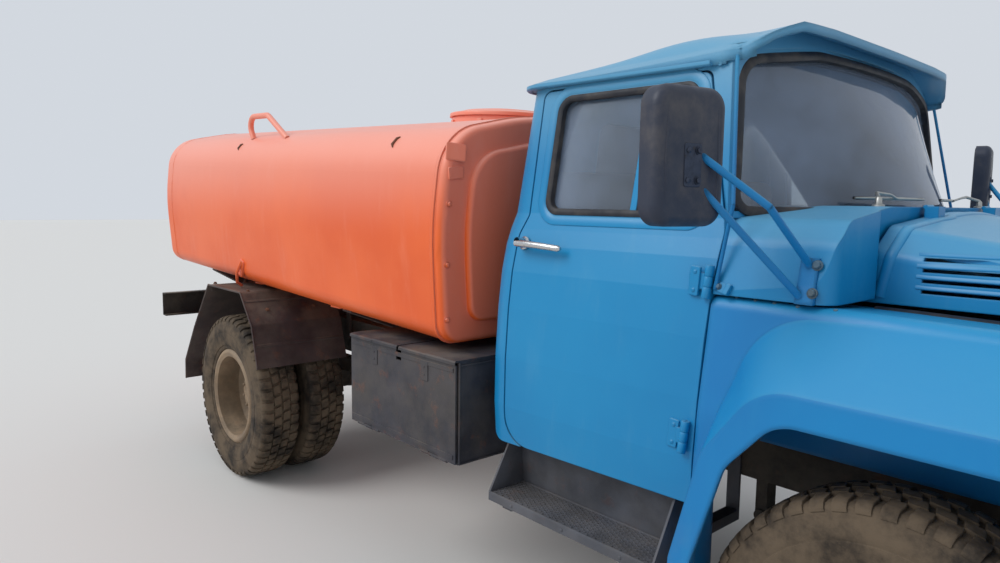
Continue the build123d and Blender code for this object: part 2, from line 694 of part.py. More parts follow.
def hood_rear(z):
    """The x of the hood's leaning rear edge at height z."""
    return HOOD_REAR - HOOD_LEAN * (HOOD_HINGE_Z - z) / (HOOD_HINGE_Z - HOOD_EDGE_Z)


def cowl_form(inset):
    """The solid space under the windscreen, from the doors to the hood, set in by inset."""
    half = COWL_HALF - inset
    plan = [(FENDER_REAR + inset, half, 0), (COWL_FRONT - inset, half - 14, 60)]
    plan += [(x, -y, r) for x, y, r in reversed(plan)]
    section = mirrored_rows([
        (half, 1300, 0), (half, 1480, 0), (COWL_BELT_HALF - inset, BELT_Z - inset, 80),
        (850 - inset, 1702 - inset, 70), (560, 1742 - inset, 300),
    ])
    behind = HOOD_GAP + inset
    nook = [(hood_rear(1300) - behind, 1300, 0), (hood_rear(1800) - behind, 1800, 0), (0, 1800, 0), (0, 1300, 0)]
    form = plan_form(plan, FENDER_TOP - inset, 1800) & section_form(section, FENDER_REAR, 100)
    return form - side_form(nook, -HOOD_HALF_REAR - behind, HOOD_HALF_REAR + behind)


def windscreen_rows():
    """The windscreen's opening seen from ahead."""
    return mirrored_rows([(812, 1722, 70), (748, 2215, 90), (400, 2268, 500)])


def cab_floor():
    """Floor over the frame, side sills and the toe board with the column's hole."""
    sill = CAB_HALF - CAB_WALL - 75
    rear = CAB_BACK + CAB_WALL - 20
    floor = block(rear, FENDER_REAR, -sill, sill, FLOOR_TOP - 25, FLOOR_TOP)
    toe = block(FENDER_REAR, FENDER_REAR + 15, -FENDER_INNER + 2, FENDER_INNER - 2, FLOOR_TOP - 25,
                FENDER_TOP - 2)
    for side in (1, -1):
        near, far = sorted((side * (sill - 15), side * sill))
        floor += block(rear, FENDER_REAR, near, far, CAB_FLOOR_Z, FLOOR_TOP - 25)
    return ((floor & cab_inside) + toe) - column_line(COLUMN_R + 6)


def column_line(radius, start=0, end=900):
    """A cylinder on the steering column's line, measured down from the wheel's centre."""
    top = Vector(*WHEEL_CENTRE)
    down = Vector(sin(COLUMN_LEAN), 0, -cos(COLUMN_LEAN))
    return rod(tuple(top + down * start), tuple(top + down * end), radius)


def steering_column():
    """The fixed column between the steering gear and the wheel."""
    tube = column_line(COLUMN_R, 60, 950) - column_line(SHAFT_R + HUB_CLEARANCE, 50, 300)
    return tube


def steering_wheel():
    """Rim, three spokes, hub and the shaft's end inside the column."""
    plane = Plane(origin=WHEEL_CENTRE, z_dir=(-sin(COLUMN_LEAN), 0, cos(COLUMN_LEAN)))
    wheel = plane * Torus(STEER_R, 14)
    wheel += plane * Pos(0, 0, -30) * Cylinder(38, 50)
    for k in range(3):
        turn = pi / 2 + 2 * pi * k / 3
        tip = plane.from_local_coords(Vector(STEER_R * cos(turn), STEER_R * sin(turn), 0))
        root = plane.from_local_coords(Vector(0, 0, -30))
        wheel += rod(tuple(root), tuple(tip), 9)
    return wheel + column_line(SHAFT_R, 30, 290)


def seat():
    """The bench with its base and backrest."""
    rows = [
        (-1415, FLOOR_TOP, 0), (-960, FLOOR_TOP, 0), (-930, FLOOR_TOP + 300, 20), (-890, 1290, 40),
        (-890, 1420, 60), (-1250, 1400, 40), (-1310, 1860, 60), (-1415, 1880, 50),
    ]
    return side_form(rows, -820, 820)


def dashboard():
    """The instrument panel across the cab under the windscreen."""
    rows = [(FENDER_REAR, 1450, 0), (FENDER_REAR, 1690, 0), (-640, 1690, 20), (-720, 1640, 40),
            (-690, 1470, 30)]
    panel = side_form(rows, -828, 828)
    return panel - column_line(COLUMN_R + 6, -50, 900)


# Front sheet metal

FENDER_SECTIONS = (
    # x, top z, half-width at the top
    (FENDER_REAR, FENDER_TOP, 953),
    (-100, 1470, 940),
    (320, 1462, 940),
    (800, 1290, 935),
    (1000, 1120, 930),
)


def fender_form(inset):
    """The left fender's solid form from the door to its nose, set in by inset."""
    faces = []
    for x, top, shoulder in FENDER_SECTIONS:
        start = x + inset if x == FENDER_REAR else x
        rows = [
            (FENDER_INNER + inset, 600 - inset, 0), (FENDER_HALF - inset, 600 - inset, 0),
            (FENDER_HALF - inset, min(1120, top - 150) - inset, 300), (shoulder - inset, top - inset, 40),
            (FENDER_INNER + inset, top - 28 - inset, 0),
        ]
        plane = Plane((start, 0, 0), x_dir=(0, 1, 0), z_dir=(1, 0, 0))
        faces.append(plane * outline(rows))
    form = loft(faces, ruled=True)
    nose = [(FENDER_REAR - 50, 500, 0), (FENDER_REAR - 50, 1600, 0), (760, 1600, 0),
            (985 - inset, 1300 - inset, 260), (985 - inset, 1000, 300), (960 - inset, 500, 0)]
    return form & side_form(nose, 500, 1200)


ARCH_ROWS = [
    (-497, 500, 0), (-497, 705, 60), (-400, 1020, 120), (-260, 1176, 130), (330, 1176, 160),
    (560, 960, 200), (610, 500, 0),
]
FLARE_ROWS = [
    (-572, 620, 0), (-568, 700, 60), (-478, 1040, 140), (-310, 1262, 180), (380, 1262, 220),
    (660, 1010, 220), (720, 620, 0),
]
WING_ROWS = [
    (-574, 620, 0), (-574, 720, 60), (-505, 1180, 140), (-415, 1450, 230), (300, 1450, 260),
    (820, 1150, 260), (880, 620, 0),
]


def wing_form(inset):
    """The bulging wing round the wheel, from the fender's top out to the flare's crease."""
    faces = []
    for rows, y in ((WING_ROWS, WING_HALF), (FLARE_ROWS, FLARE_HALF - inset)):
        face = outline([(x, z - (4 * inset if z == 620 else 0), r) for x, z, r in rows])
        if inset:
            face = offset(face, amount=-inset, kind=Kind.INTERSECTION)
        faces.append(Plane((0, y, 0), x_dir=(1, 0, 0), z_dir=(0, -1, 0)) * face)
    return loft(faces, ruled=True)


def front_fender():
    """The left front fender: a shell with its wing, open wheel arch and inner apron."""
    inner = fender_form(SHEET) + Pos(0, 0, -100) * fender_form(SHEET)
    shell = (fender_form(0) + wing_form(0)) - inner - wing_form(SHEET)
    shell -= side_form(ARCH_ROWS, 640, 1200)
    shell -= block(-560, 1100, 500, 640, 400, APRON_BOTTOM)
    shell -= block(FENDER_REAR - 20, FENDER_REAR + SHEET + 8, 500, 870, 400, FLOOR_TOP - 25)
    shell -= block(590, 1100, 500, 1200, 400, 760)
    return shell


def hood_form(inset):
    """The hood's solid form between its rear edge and nose, set in by inset."""
    faces = []
    for x, half, top in ((HOOD_REAR - HOOD_LEAN - 5, HOOD_HALF_REAR, HOOD_TOP_REAR),
                         (HOOD_FRONT, HOOD_HALF_FRONT, HOOD_TOP_FRONT)):
        rows = mirrored_rows([
            (half - inset, 1200, 0), (half - inset, top - 120 - inset, 45),
            (half - 70 - inset, top - 42 - inset, 45),
        ])
        rows.insert(len(rows) // 2, (0, top - inset + 14, 2600))
        plane = Plane((x, 0, 0), x_dir=(0, 1, 0), z_dir=(1, 0, 0))
        faces.append(plane * outline(rows))
    side = [
        (hood_rear(HOOD_EDGE_Z - 4 * inset) + inset, HOOD_EDGE_Z - 4 * inset, 0),
        (hood_rear(1900) + inset, 1900, 0), (560, 1900, 0),
        (HOOD_FRONT - 70 - inset, HOOD_TOP_FRONT - 15 - inset, 90), (HOOD_FRONT - inset, 1440, 120),
        (HOOD_FRONT - inset, HOOD_NOSE_Z - 4 * inset, 0), (HOOD_FRONT - 70 + inset, HOOD_NOSE_Z - 4 * inset, 0),
        (HOOD_FRONT - 90 + inset, HOOD_EDGE_Z - 4 * inset, 40),
    ]
    return loft(faces, ruled=True) & side_form(side, -800, 800)


def hood():
    """The one-piece hood with its louvres, open underneath."""
    panel = hood_form(0) - hood_form(SHEET)
    for z in LOUVRE_Z:
        for y0, y1 in ((-700, -LOUVRE_IN), (LOUVRE_IN, 700)):
            panel -= block(-95, 330, y0, y1, z - 5, z + 5)
    for y in (-HOOD_HINGE_Y, HOOD_HINGE_Y):
        panel += rod((HOOD_REAR + 2, y - 30, HOOD_HINGE_Z), (HOOD_REAR + 2, y + 30, HOOD_HINGE_Z), 7)
        panel += block(HOOD_REAR, HOOD_REAR + 40, y - 30, y + 30, HOOD_HINGE_Z - 40, HOOD_HINGE_Z + 2)
    return panel


def grille():
    """The front panel between the fenders, with two rows of slots and the lamps' holes."""
    half = FENDER_INNER - 3
    panel = block(GRILLE_X - 14, GRILLE_X, -half, half, 805, HOOD_NOSE_Z - 10)
    for z in (880, 1080):
        for k in range(13):
            y = (k - 6) * 50
            panel -= block(GRILLE_X - 30, GRILLE_X + 10, y - 10, y + 10, z - 70, z + 70)
    for side in (1, -1):
        panel -= rod((GRILLE_X - 50, side * LAMP_Y, LAMP_Z), (GRILLE_X + 50, side * LAMP_Y, LAMP_Z), 84)
    return panel


def headlamps():
    """Two round lamps in the front panel's holes, each with its bezel."""
    lamps = []
    for side in (1, -1):
        lamp = revolve(
            make_face(FilletPolyline((0, -50), (0, 34), (60, 28), (84, 12), (100, 12), (100, 0), (83, 0),
                                     (60, -50), radius=[0, 0, 60, 4, 4, 0, 0, 30], close=True).edges()),
            axis=Axis.Y,
        )
        lamps.append(Pos(GRILLE_X, side * LAMP_Y, LAMP_Z) * Rot(0, 0, -90) * lamp)
    return lamps


def front_bumper():
    """The channel bumper with swept ends and its two brackets on the rails."""
    outer = [(FRONT_OVERHANG - 115, 1118, 0), (FRONT_OVERHANG - 75, 1122, 40), (FRONT_OVERHANG, 760, 500),
             (FRONT_OVERHANG, -760, 500), (FRONT_OVERHANG - 75, -1122, 40), (FRONT_OVERHANG - 115, -1118, 0)]
    inner = [(x - 14, y - 16 if y > 0 else y + 16, r) for x, y, r in outer]
    bar = plan_form(outer, 500, 700) - plan_form(inner, 512, 688)
    for side in (1, -1):
        near, far = sorted((side * (FRAME_WIDTH / 2), side * (FRAME_WIDTH / 2 + 14)))
        bracket = [(700, RAIL_TOP - 110, 20), (RAIL_FRONT, RAIL_TOP - 130, 60),
                   (FRONT_OVERHANG - 16, 680, 0), (FRONT_OVERHANG - 16, 520, 0), (900, 560, 60), (700, 780, 20)]
        bar += side_form(bracket, near, far)
    return bar


def step(side):
    """One step: tread tray, slanting back panel and end brackets."""
    rows = [(STEP_OUT, STEP_Z - 32, 0), (STEP_OUT, STEP_Z, 6), (STEP_IN, STEP_Z, 0), (900, STEP_TOP, 0),
            (888, STEP_TOP, 0), (STEP_IN - 14, STEP_Z - 6, 0), (STEP_IN - 14, STEP_Z - 12, 0),
            (STEP_OUT - 10, STEP_Z - 12, 0), (STEP_OUT - 10, STEP_Z - 32, 0)]
    tray = section_form([(side * y, z, r) for y, z, r in rows], STEP_REAR, STEP_FRONT)
    bracket = [(STEP_OUT, STEP_Z - 20, 0), (STEP_OUT, STEP_Z, 0), (955, STEP_TOP, 0), (888, STEP_TOP, 0),
               (STEP_IN - 30, STEP_Z - 20, 0)]
    for x in (STEP_REAR, STEP_FRONT - 8):
        tray += section_form([(side * y, z, r) for y, z, r in bracket], x, x + 8)
    for x in (STEP_REAR + 60, STEP_FRONT - 120):
        near, far = sorted((side * FRAME_WIDTH / 2, side * (STEP_OUT - 20)))
        tray += block(x, x + 50, near, far, STEP_Z - 50, STEP_Z - 12)
        near, far = sorted((side * FRAME_WIDTH / 2, side * (FRAME_WIDTH / 2 + 12)))
        tray += block(x, x + 50, near, far, STEP_Z - 50, RAIL_BOTTOM + 80)
    return tray


def mirror_head(side):
    """One mirror's shell, facing back and a little inwards."""
    shell = Box(*MIRROR_SIZE)
    shell = fillet(shell.edges().filter_by(Axis.X), 55)
    shell = fillet(shell.faces().sort_by(Axis.X)[-1].edges(), 26)
    x, y, z = MIRROR_CENTRE
    return Pos(x, side * y, z) * Rot(0, 0, side * 12) * shell


def mirror_arms(side):
    """Base plate on the cowl, two arms to the head, and the stay up to the gutter."""
    x, y, z = MIRROR_CENTRE
    plate = section_form([(side * 890, 1475, 0), (side * 890, 1600, 0), (side * 930, 1600, 0),
                          (side * 960, 1475, 0)], -300, -250) - cowl_form(0)
    upper = rod((-275, side * 932, 1580), (-310, side * 1100, 1735), 10)
    upper += rod((-310, side * 1100, 1735), (x + 20, side * (y - 20), z + 15), 10)
    lower = rod((-290, side * 952, 1495), (x + 20, side * (y - 20), z - 60), 10)
    gutter = half_at(GUTTER_HALF + GUTTER_LIP, -575)
    stay = rod((-575, side * (gutter + 5), GUTTER_Z + 6), (-505, side * 945, 1740), 6)
    stay += rod((-505, side * 945, 1740), (-545, side * 956, 1490), 6)
    return [plate + upper + lower - mirror_head(side), stay]


def roof_lamps():
    """Three marker lamps across the front of the roof."""
    lamps = []
    for y in (-210, 0, 210):
        dome = revolve(
            make_face(FilletPolyline((0, -50), (0, 34), (27, 22), (30, 0), (30, -50),
                                     radius=[0, 0, 12, 0, 0], close=True).edges()),
            axis=Axis.Y,
        )
        dome = Pos(-600, y, ROOF_TOP - 28) * Rot(90, 0, 0) * dome
        lamps.append(dome - roof_form(0))
    return lamps


# Tank and rear body

def tank_rows(inset):
    """The tank's suitcase section over its own bottom line, set in by inset."""
    rows = mirrored_rows([
        (TANK_HALF - 30 - inset, inset, 95), (TANK_HALF + 12 - inset, 470, 1500),
        (TANK_HALF - 25 - inset, 862 - inset, 230), (650, 962 - inset, 1200),
    ])
    return rows


def tank_place(solid):
    """Moves a piece from the tank's level frame to its inclined place on the vehicle."""
    return Pos(TANK_FRONT, 0, TANK_BOTTOM) * Rot(0, degrees(TANK_RISE), 0) * solid


def tank():
    """The closed tank with its seam flange, front panel, hatch collar and clamps."""
    body = section_form(tank_rows(0), -TANK_LENGTH, 0)
    rear = body.faces().sort_by(Axis.X)[0].edges()
    body = fillet(rear, 120)
    front = body.faces().sort_by(Axis.X)[-1].edges()
    body = fillet(front, 30)
    panel = section_form([(y * 0.89, 90 + z * 0.8, r * 0.8) for y, z, r in tank_rows(0)], -40, 24)
    panel = fillet(panel.faces().sort_by(Axis.X)[-1].edges(), 20)
    seam = section_form(tank_rows(-6), -62, -46)
    collar = Pos(HATCH_X, 0, 900) * Cylinder(HATCH_R, HATCH_TOP - 900, align=(Align.CENTER, Align.CENTER, Align.MIN))
    well = Pos(HATCH_X, 0, 760) * Cylinder(HATCH_BORE, 400, align=(Align.CENTER, Align.CENTER, Align.MIN))
    return tank_place(body + panel + seam + collar + handrail() - well)


def hatch_lid():
    """The manhole's domed lid with its rear hinge eyes and front latch lug."""
    lid = revolve(
        make_face(FilletPolyline((0, 0), (HATCH_R + 12, 0), (HATCH_R + 12, 22), (HATCH_R - 50, 34),
                                 (0, 62), radius=[0, 0, 8, 100, 0], close=True).edges()),
        axis=Axis.Y,
    )
    lid = Rot(90, 0, 0) * lid
    hinge_x = -HATCH_R - 34
    for y in (-70, 70):
        lid += block(hinge_x, -HATCH_R + 20, y - 14, y + 14, 4, 20)
        lid += rod((hinge_x, y - 14, 12), (hinge_x, y + 14, 12), 12)
    lid += block(HATCH_R - 10, HATCH_R + 46, -16, 16, 4, 18)
    return tank_place(Pos(HATCH_X, 0, HATCH_TOP + 1) * lid)


def tank_saddles():
    """Cross bearers between the rails and the tank's sloping bottom."""
    slope = sin(TANK_RISE) / cos(TANK_RISE)
    pieces = []
    for x, half in SADDLES:
        top = TANK_BOTTOM + (TANK_FRONT - x) * slope
        profile = [(x - 45, RAIL_TOP, 0), (x + 45, RAIL_TOP, 0), (x + 45, top - 45 * slope, 0),
                   (x - 45, top + 45 * slope, 0)]
        section = mirrored_rows([(460, RAIL_TOP, 0), (500, RAIL_TOP + 30, 0), (half, top - 50, 0),
                                 (half, top + 60, 0)])
        pieces.append(side_form(profile, -1000, 1000) & section_form(section, x - 100, x + 100))
    return pieces


def handrail():
    """The hoop pipe welded to the tank's right shoulder."""
    points = [(-1640, -980, 870), (-1890, -985, 1010), (-2190, -985, 1010), (-2100, -980, 870)]
    return bent_tube(points, [60, 60], 17)


def toolbox():
    """The open-sided steel box under the tank on the right, with its rail brackets."""
    outer = block(BOX_REAR, BOX_FRONT, -BOX_OUT, -BOX_IN, BOX_LOW, BOX_TOP)
    inner = block(BOX_REAR + PLATE, BOX_FRONT - PLATE, -BOX_OUT - 10, -BOX_IN - PLATE, BOX_LOW + PLATE,
                  BOX_TOP - PLATE)
    box = outer - inner
    for x in (BOX_REAR + 120, BOX_FRONT - 180):
        box += block(x, x + 60, -BOX_IN, -FRAME_WIDTH / 2, BOX_LOW + 90, BOX_LOW + 230)
        box += rod((x, BOX_PIN_Y, BOX_PIN_Z), (x + 60, BOX_PIN_Y, BOX_PIN_Z), BOX_PIN_R)
        box += block(x, x + 60, BOX_PIN_Y, -BOX_OUT + 20, BOX_LOW - 6, BOX_LOW)
    return box


def toolbox_door():
    """The box's drop-down side, hinged along its lower edge."""
    panel = block(BOX_REAR + 2, BOX_FRONT - 2, -BOX_OUT - DOOR_GAP - PLATE, -BOX_OUT - DOOR_GAP, BOX_LOW + 4,
                  BOX_TOP - 14)
    for x in (BOX_REAR + 120, BOX_FRONT - 180):
        panel -= block(x - 2, x + 62, -BOX_OUT - 40, -BOX_OUT, BOX_LOW - 10, BOX_PIN_Z + BOX_PIN_R + 3)
        for end in (x - 62, x + 62):
            panel += rod((end, BOX_PIN_Y, BOX_PIN_Z), (end + 60, BOX_PIN_Y, BOX_PIN_Z), BOX_PIN_R)
    panel -= block((BOX_REAR + BOX_FRONT) / 2 - 20, (BOX_REAR + BOX_FRONT) / 2 + 20, -BOX_OUT - 40,
                   -BOX_OUT, BOX_TOP - 60, BOX_TOP)
    return panel


def fuel_tank():
    """The fuel tank on the left with its straps, filler and rail brackets."""
    shell = side_form([(-2400, 640, 60), (-1620, 640, 60), (-1620, 1060, 60), (-2400, 1060, 60)], 540, 1010)
    for x in (-2260, -1800):
        strap = side_form([(x - 30, 632, 0), (x + 30, 632, 0), (x + 30, 1068, 0), (x - 30, 1068, 0)],
                          FRAME_WIDTH / 2, 1018)
        shell += strap
    return shell + rod((-1760, 900, 1050), (-1760, 930, 1110), 50)


def exhaust():
    """Front pipe, silencer and tail pipe under the frame."""
    front = rod((-460, 270, 700), (-1900, 270, 640), 27)
    silencer = rod((-1880, 270, 640), (-2640, 270, 640), 82)
    tail = bent_tube([(-2600, 270, 640), (-2960, 270, 640), (-2960, 1010, 600)], [90], 27)
    return front + silencer + tail


def rear_fender(side):
    """One angular rear fender over the twin wheels, with its two arms from the rail."""
    face = outline([(-4552, 480, 0), (-4545, 620, 60), (-4345, 880, 60), (-4070, REAR_FENDER_TOP, 30),
                    (-3560, REAR_FENDER_TOP, 30), (-3405, 1010, 30), (-3330, 760, 0), (-3330, 400, 0),
                    (-4552, 400, 0)])
    ring = face - offset(face, amount=-PLATE, kind=Kind.INTERSECTION)
    plane = Plane((0, REAR_FENDER_HALF, 0), x_dir=(1, 0, 0), z_dir=(0, -1, 0))
    cover = extrude(plane * ring, REAR_FENDER_HALF - REAR_FENDER_INNER)
    cover -= block(-4600, -3900, 500, 1300, 380, 485)
    cover -= block(-3900, -3300, 500, 1300, 380, 765)
    for x in (-4120, -3600):
        cover += block(x, x + 40, FRAME_WIDTH / 2, REAR_FENDER_HALF - 30, REAR_FENDER_TOP - 46,
                       REAR_FENDER_TOP - PLATE)
        cover += block(x, x + 40, FRAME_WIDTH / 2, FRAME_WIDTH / 2 + 14, RAIL_TOP - 120,
                       REAR_FENDER_TOP - PLATE)
    return cover if side > 0 else mirror(cover, about=Plane.XZ)


def rear_beam():
    """The cross beam behind the frame: a channel open to the front."""
    rows = [(BEAM_X, 860, 6), (BEAM_X, 1030, 6), (BEAM_X + 70, 1030, 0), (BEAM_X + 70, 1022, 0),
            (BEAM_X + 8, 1022, 0), (BEAM_X + 8, 868, 0), (BEAM_X + 70, 868, 0), (BEAM_X + 70, 860, 0)]
    beam = side_form(rows, -1150, 1150)
    for y in (RAIL_Y, -RAIL_Y):
        beam += block(BEAM_X + 8, RAIL_REAR, y - 30, y + 30, 880, RAIL_TOP - 10)
    return beam


def tail_lamps():
    """A lamp on the rear beam at each side."""
    lamp = block(BEAM_X - 44, BEAM_X, 900, 1080, 890, 1000)
    lamp = fillet(lamp.edges().filter_by(Axis.X), 16)
    return both_sides(lamp)


def outlet_pipe():
    """The tank's outlet: an elbow under its rear end and the hose coupling."""
    start = (-4800, 0, 1285)
    pipe = bent_tube([start, (-4800, 0, 1110), (OUTLET_END + 20, 0, 1110)], [90], 38)
    pipe += rod((-4985, 0, 1110), (-5010, 0, 1110), 58)
    pipe += rod((OUTLET_END + 70, 0, 1110), (OUTLET_END, 0, 1110), OUTLET_R)
    return pipe - tank_body


cab_outside = wall_form(0)
cab_inside = wall_form(CAB_WALL)
cab_walls = cab_outside - cab_inside
glass_walls = wall_form(GLASS_DEPTH) - wall_form(GLASS_DEPTH + GLASS)
doors_space = both_sides(side_form(door_rows(DOOR_GAP), *SIDE_RANGE))
roof_under = roof_form(ROOF_WALL)
lower_space = block(CAB_BACK - 50, 300, -1200, 1200, 700, GUTTER_Z)

frame_walls = (cab_walls & lower_space) + ((cab_walls - lower_space) & roof_under)
for space in doors_space:
    frame_walls = frame_walls - space
frame_walls = frame_walls - cowl_form(0) - section_form(windscreen_rows(), -700, 0)
PILLAR_X = -1000
back_box = block(CAB_BACK - 50, PILLAR_X, -1200, 1200, 700, ROOF_TOP + 100)
cab_back = frame_walls & back_box
cab_back -= block(CAB_BACK - 50, PILLAR_X, -470, 470, 700, FLOOR_TOP - 25)
window = section_form(mirrored_rows([(480, 1740, 60), (460, 2080, 60)]), CAB_BACK - 60, CAB_BACK + 200)
roof = roof_form(0) - roof_under - (cab_outside & lower_space)
roof = roof - block(CAB_BACK - 50, 300, -1200, 1200, 2000, GUTTER_Z - 12) - visor_space()
screen = (glass_walls & section_form(windscreen_rows(), -700, 0)) - cowl_form(0) - roof
rear_pane = glass_walls & window
cowl = cowl_form(0) - cowl_form(SHEET) - doors_space[0] - doors_space[1]
tank_body = tank()
door_leaf = door()
door_panes = door_glass()

os.makedirs("parts", exist_ok=True)

for side, name in ((1, "left"), (-1, "right")):
    write(f"tyre_front_{name}", Pos(0, 0, AXLE_Z) * tyre(side * FRONT_TRACK / 2))
    write(f"wheel_front_{name}", front_wheel(side))
    twins = [
        Pos(REAR_X, 0, AXLE_Z) * tyre(side * (REAR_TRACK / 2 + shift))
        for shift in (-TWIN_SPACING / 2, TWIN_SPACING / 2)
    ]
    write(f"tyres_rear_{name}", twins)
    write(f"wheels_rear_{name}", rear_wheels(side))

write("frame_rails", both_sides(rail()))
write("crossmembers", crossmembers(), rear_beam())
write("leaf_springs", both_sides(spring(0, 540, 610, 640, 6, 12, BEAM_PAD_Z)),
      both_sides(spring(REAR_X, 684, 708, 660, 7, 13, REAR_SEAT_Z)))
write("front_axle", front_axle())
write("rear_axle", rear_axle())
write("knuckle_left", knuckle() + steering_arm())
write("knuckle_right", mirror(knuckle(), about=Plane.XZ))
write("tie_rod", tie_rod())
write("pitman_arm", pitman())
write("drag_link", drag_link())
write("engine", block(-440, 480, -300, 300, 690, 1380))
write("driveline", driveline())
write("radiator", radiator())
write("exhaust", exhaust())
write("steering_gear", steering_box() + steering_column())
write("steering_wheel", steering_wheel())
write("cab_back", cab_back - window)
write("cab_front", frame_walls - back_box - block(PILLAR_X - 10, 300, -1200, 1200, 700, SCREEN_BASE_Z))
write("cab_roof", roof)
write("cab_floor", cab_floor())
write("cowl", cowl)
write("cab_glass", screen, rear_pane)
write("seat", seat())
write("dashboard", dashboard())
write("door_left", door_leaf)
write("door_right", mirror(door_leaf, about=Plane.XZ))
write("door_glass_left", door_panes)
write("door_glass_right", mirror(door_panes, about=Plane.XZ))
write("front_fenders", both_sides(front_fender() - doors_space[0]))
write("hood", hood())
write("grille", grille())
write("headlamps", headlamps())
write("front_bumper", front_bumper())
write("steps", step(1), step(-1))
write("mirrors", mirror_head(1), mirror_head(-1))
write("mirror_arms", mirror_arms(1), mirror_arms(-1))
write("marker_lamps", roof_lamps(), tail_lamps())
write("tank", tank_body)
write("hatch_lid", hatch_lid())
write("tank_saddles", tank_saddles())
write("toolbox", toolbox())
write("toolbox_door", toolbox_door())
write("fuel_tank", fuel_tank())
write("rear_fenders", rear_fender(1), rear_fender(-1))
write("outlet_pipe", outlet_pipe())
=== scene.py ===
"""Dresses the tanker truck: enamel, rubber, glass and the small fittings on its solids.

Metres, +X forward, +Y left, +Z up, with the origin on the ground under the middle of the
vehicle. Fittings are placed from AXLE_FOOT, on the ground under the front axle.
"""
from math import ceil, cos, exp, pi, radians, sin, sqrt, tan

import bmesh
import bpy
from mathutils import Matrix, Vector
from mathutils.bvhtree import BVHTree


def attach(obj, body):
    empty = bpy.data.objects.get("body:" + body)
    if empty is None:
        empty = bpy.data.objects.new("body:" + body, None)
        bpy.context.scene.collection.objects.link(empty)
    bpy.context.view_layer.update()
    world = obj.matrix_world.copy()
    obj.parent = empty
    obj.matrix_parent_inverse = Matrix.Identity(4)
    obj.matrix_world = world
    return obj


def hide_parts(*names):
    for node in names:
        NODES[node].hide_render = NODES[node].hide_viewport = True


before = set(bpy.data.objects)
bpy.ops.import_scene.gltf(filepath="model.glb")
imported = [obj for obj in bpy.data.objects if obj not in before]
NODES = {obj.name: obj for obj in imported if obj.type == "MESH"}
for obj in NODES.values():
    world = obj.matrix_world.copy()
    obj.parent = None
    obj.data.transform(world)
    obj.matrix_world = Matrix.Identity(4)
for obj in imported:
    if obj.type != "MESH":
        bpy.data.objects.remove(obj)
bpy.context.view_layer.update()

FRONT = 2.0475
AXLE_FOOT = Vector((FRONT, 0, 0))
REAR_AXLE = -3.8
AXLE_Z = 0.508
FRONT_TYRE_Y = 0.9
REAR_TYRE_Y = (0.745, 1.045)
SIDES = ((1, "left"), (-1, "right"))
UP = Vector((0, 0, 1))

# The photograph's focal length and its middle, in pixels.
FOCAL = 723.1
MIDDLE = (500, 281.5)


# Camera

def put(name, data):
    """A new object in the scene."""
    thing = bpy.data.objects.new(name, data)
    bpy.context.scene.collection.objects.link(thing)
    return thing


def place_camera():
    """The photograph's viewpoint."""
    yaw, pitch, roll = radians(48.24), radians(6.22), radians(0.8)
    forward = Vector((-sin(yaw) * cos(pitch), cos(yaw) * cos(pitch), -sin(pitch)))
    level = Vector((cos(yaw), sin(yaw), 0))
    over = level.cross(forward)
    right = cos(roll) * level + sin(roll) * over
    up = cos(roll) * over - sin(roll) * level
    data = bpy.data.cameras.new("camera")
    data.sensor_width = 36
    data.lens = data.sensor_width * FOCAL / (2 * MIDDLE[0])
    data.clip_end = 200
    camera = put("camera", data)
    turn = Matrix((right, up, -forward)).transposed().to_4x4()
    camera.matrix_world = Matrix.Translation(AXLE_FOOT + Vector((0.620, -2.851, 1.737))) @ turn
    bpy.context.scene.camera = camera


place_camera()


# Materials

